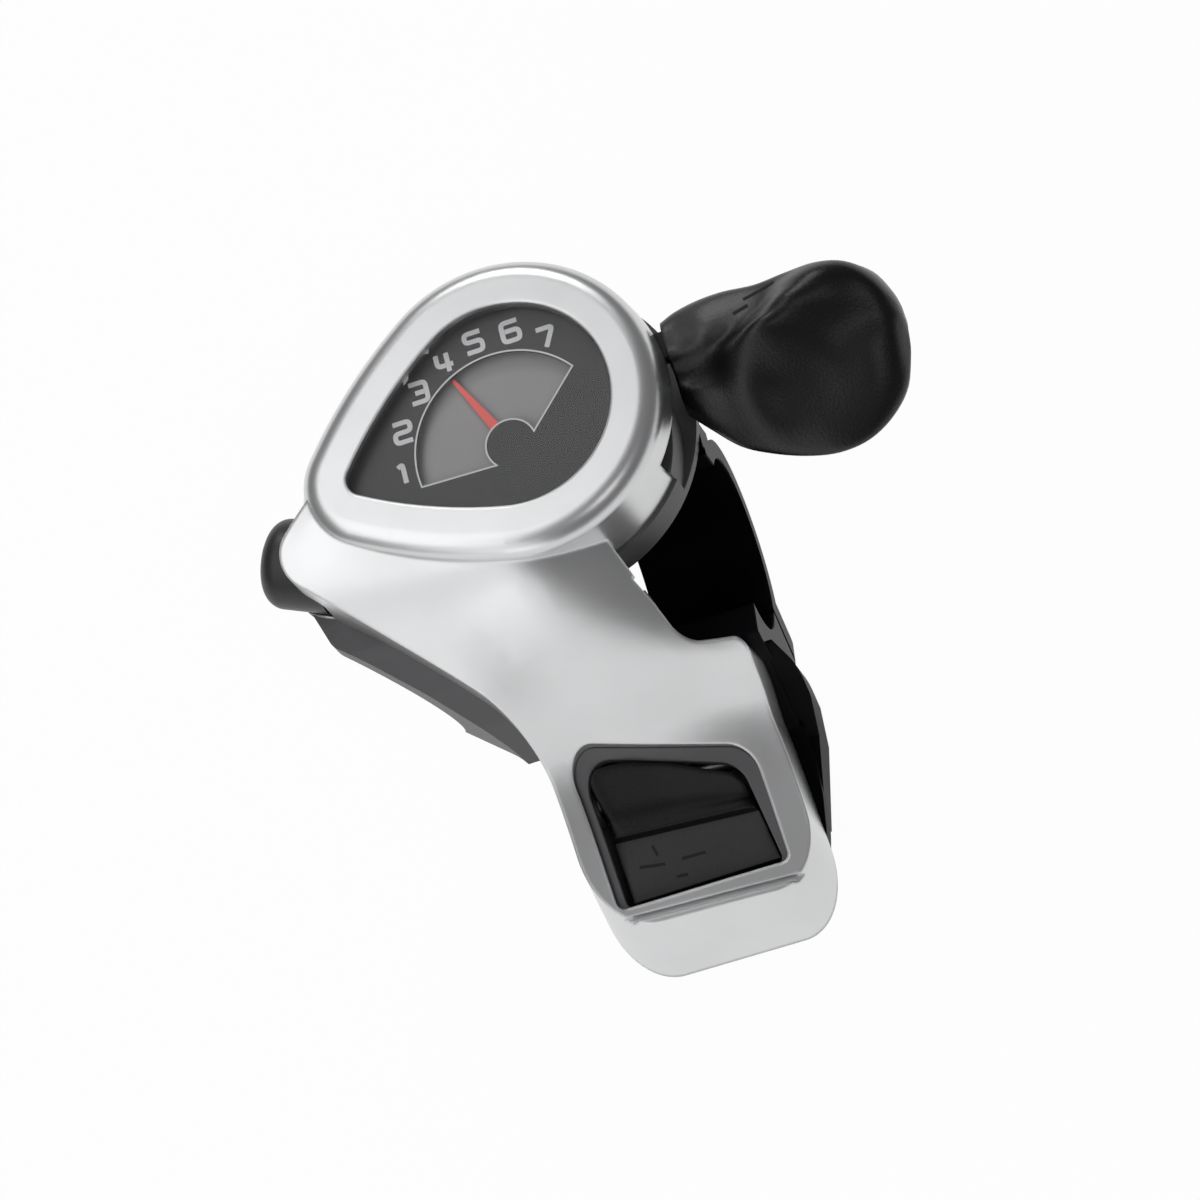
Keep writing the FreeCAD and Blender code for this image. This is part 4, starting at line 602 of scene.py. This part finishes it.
# %% [markdown]
# The dial carries the plain figures 1 to 7 round the needle, and a fine pale line along the
# edge of its window. Both are printed on the mask, just under the lens.

# %% Dial print
MASK_TOP = 26.1
FIGURE_WIDTH = 2.1
FIGURE_HEIGHT = 2.5
FIGURE_STROKE = 0.62
FIGURE_CORNER = 0.55
# Paths of each figure, in shares of its width and height
FIGURES = {
    "1": [[(0.25, 0.86), (0.56, 1.0), (0.56, 0.0)]],
    "2": [[(0, 1), (1, 1), (1, 0.5), (0, 0.5), (0, 0), (1, 0)]],
    "3": [[(0, 1), (1, 1), (1, 0), (0, 0)], [(0.3, 0.5), (0.84, 0.5)]],
    "4": [[(0.1, 1), (0.1, 0.36), (0.58, 0.36)], [(0.74, 1), (0.74, 0)], [(0.9, 0.36), (1.05, 0.36)]],
    "5": [[(1, 1), (0, 1), (0, 0.54), (1, 0.54), (1, 0), (0, 0)]],
    "6": [[(1, 1), (0, 1), (0, 0), (1, 0), (1, 0.54), (0.16, 0.54)]],
    "7": [[(0, 1), (1, 1), (0.4, 0)]],
}
# Where each figure stands: angle and reach from the needle's axis
FIGURE_SPOTS = {"1": (177.4, 13.75), "2": (155.0, 13.9), "3": (133.0, 14.0), "4": (113.6, 14.1),
                "5": (95.8, 14.4), "6": (76.9, 14.55), "7": (58.2, 14.0)}
ink = grained("dial_ink", (0.78, 0.78, 0.79), 0.6, 0.0, 3000.0, 0.05, drift=0.03)


def on_dial(reach, angle):
    """A spot on the dial, by its reach and angle from the needle's axis."""
    turn = math.radians(angle)
    return Vector((HUB.x / MM + reach * math.cos(turn), HUB.y / MM + reach * math.sin(turn)))


for figure, (angle, reach) in FIGURE_SPOTS.items():
    centre = on_dial(reach, angle)
    paths = []
    for path in FIGURES[figure]:
        spots = [centre + Vector(((u - 0.5) * FIGURE_WIDTH, (v - 0.5) * FIGURE_HEIGHT)) for u, v in path]
        paths.append(softened(spots, FIGURE_CORNER))
    film_piece("figure_" + figure, paths, FIGURE_STROKE, ink, "housing", flat=MASK_TOP)

# Two arcs bound the window: radius, first angle and sweep
SECTOR_ARCS = [(11.9, 37.4, 150.6), (3.3, 217.0, -201.0)]
SECTOR_STEPS = 48
LINE_WIDTH = 0.22
LINE_SHIFT = -0.14
rim = [on_dial(reach, start + sweep * k / SECTOR_STEPS)
       for reach, start, sweep in SECTOR_ARCS for k in range(SECTOR_STEPS + 1)]
film_piece("sector_line", [rim], LINE_WIDTH, ink, "housing", flat=MASK_TOP,
           closed=True, shift=LINE_SHIFT)
print("figures", len(FIGURES))

# %% [markdown]
# Short marks are pressed into the release button's ledge and the paddle's flange. Their grooves show as
# dark strokes from the shade inside them; thin dark films laid on the surface paint that shade instead
# of real grooves.

# %% Pressed marks
# Painted shade: the dark inside pressed grooves, given to thin films
groove_shade_finish = grained("painted_groove_shade", (0.004, 0.004, 0.004), 0.7, 0.0, 2600.0, 0.1)
BUTTON_MARK_WIDTH = 0.34
PADDLE_MARK_WIDTH = 0.4


def straight(start, end, steps=12):
    """Spots along a straight mark, close enough to follow a curved surface."""
    first = Vector(start)
    last = Vector(end)
    return [first.lerp(last, k / steps) for k in range(steps + 1)]


bpy.context.view_layer.update()
button_marks = [straight((-17.1, -32.2), (-13.9, -32.7)), straight((-11.7, -32.7), (-8.7, -32.8)),
                straight((-14.8, -30.2), (-14.5, -31.5)), straight((-13.0, -34.5), (-11.6, -34.6))]
film_piece("button_marks", button_marks, BUTTON_MARK_WIDTH, groove_shade_finish, "button_body",
           onto=button)
paddle_marks = [straight((18.4, 20.9), (22.6, 21.7)), straight((16.8, 19.4), (18.8, 19.9))]
film_piece("paddle_marks", paddle_marks, PADDLE_MARK_WIDTH, groove_shade_finish, "thumb_lever",
           onto=paddle)
print("marks", len(button_marks) + len(paddle_marks))
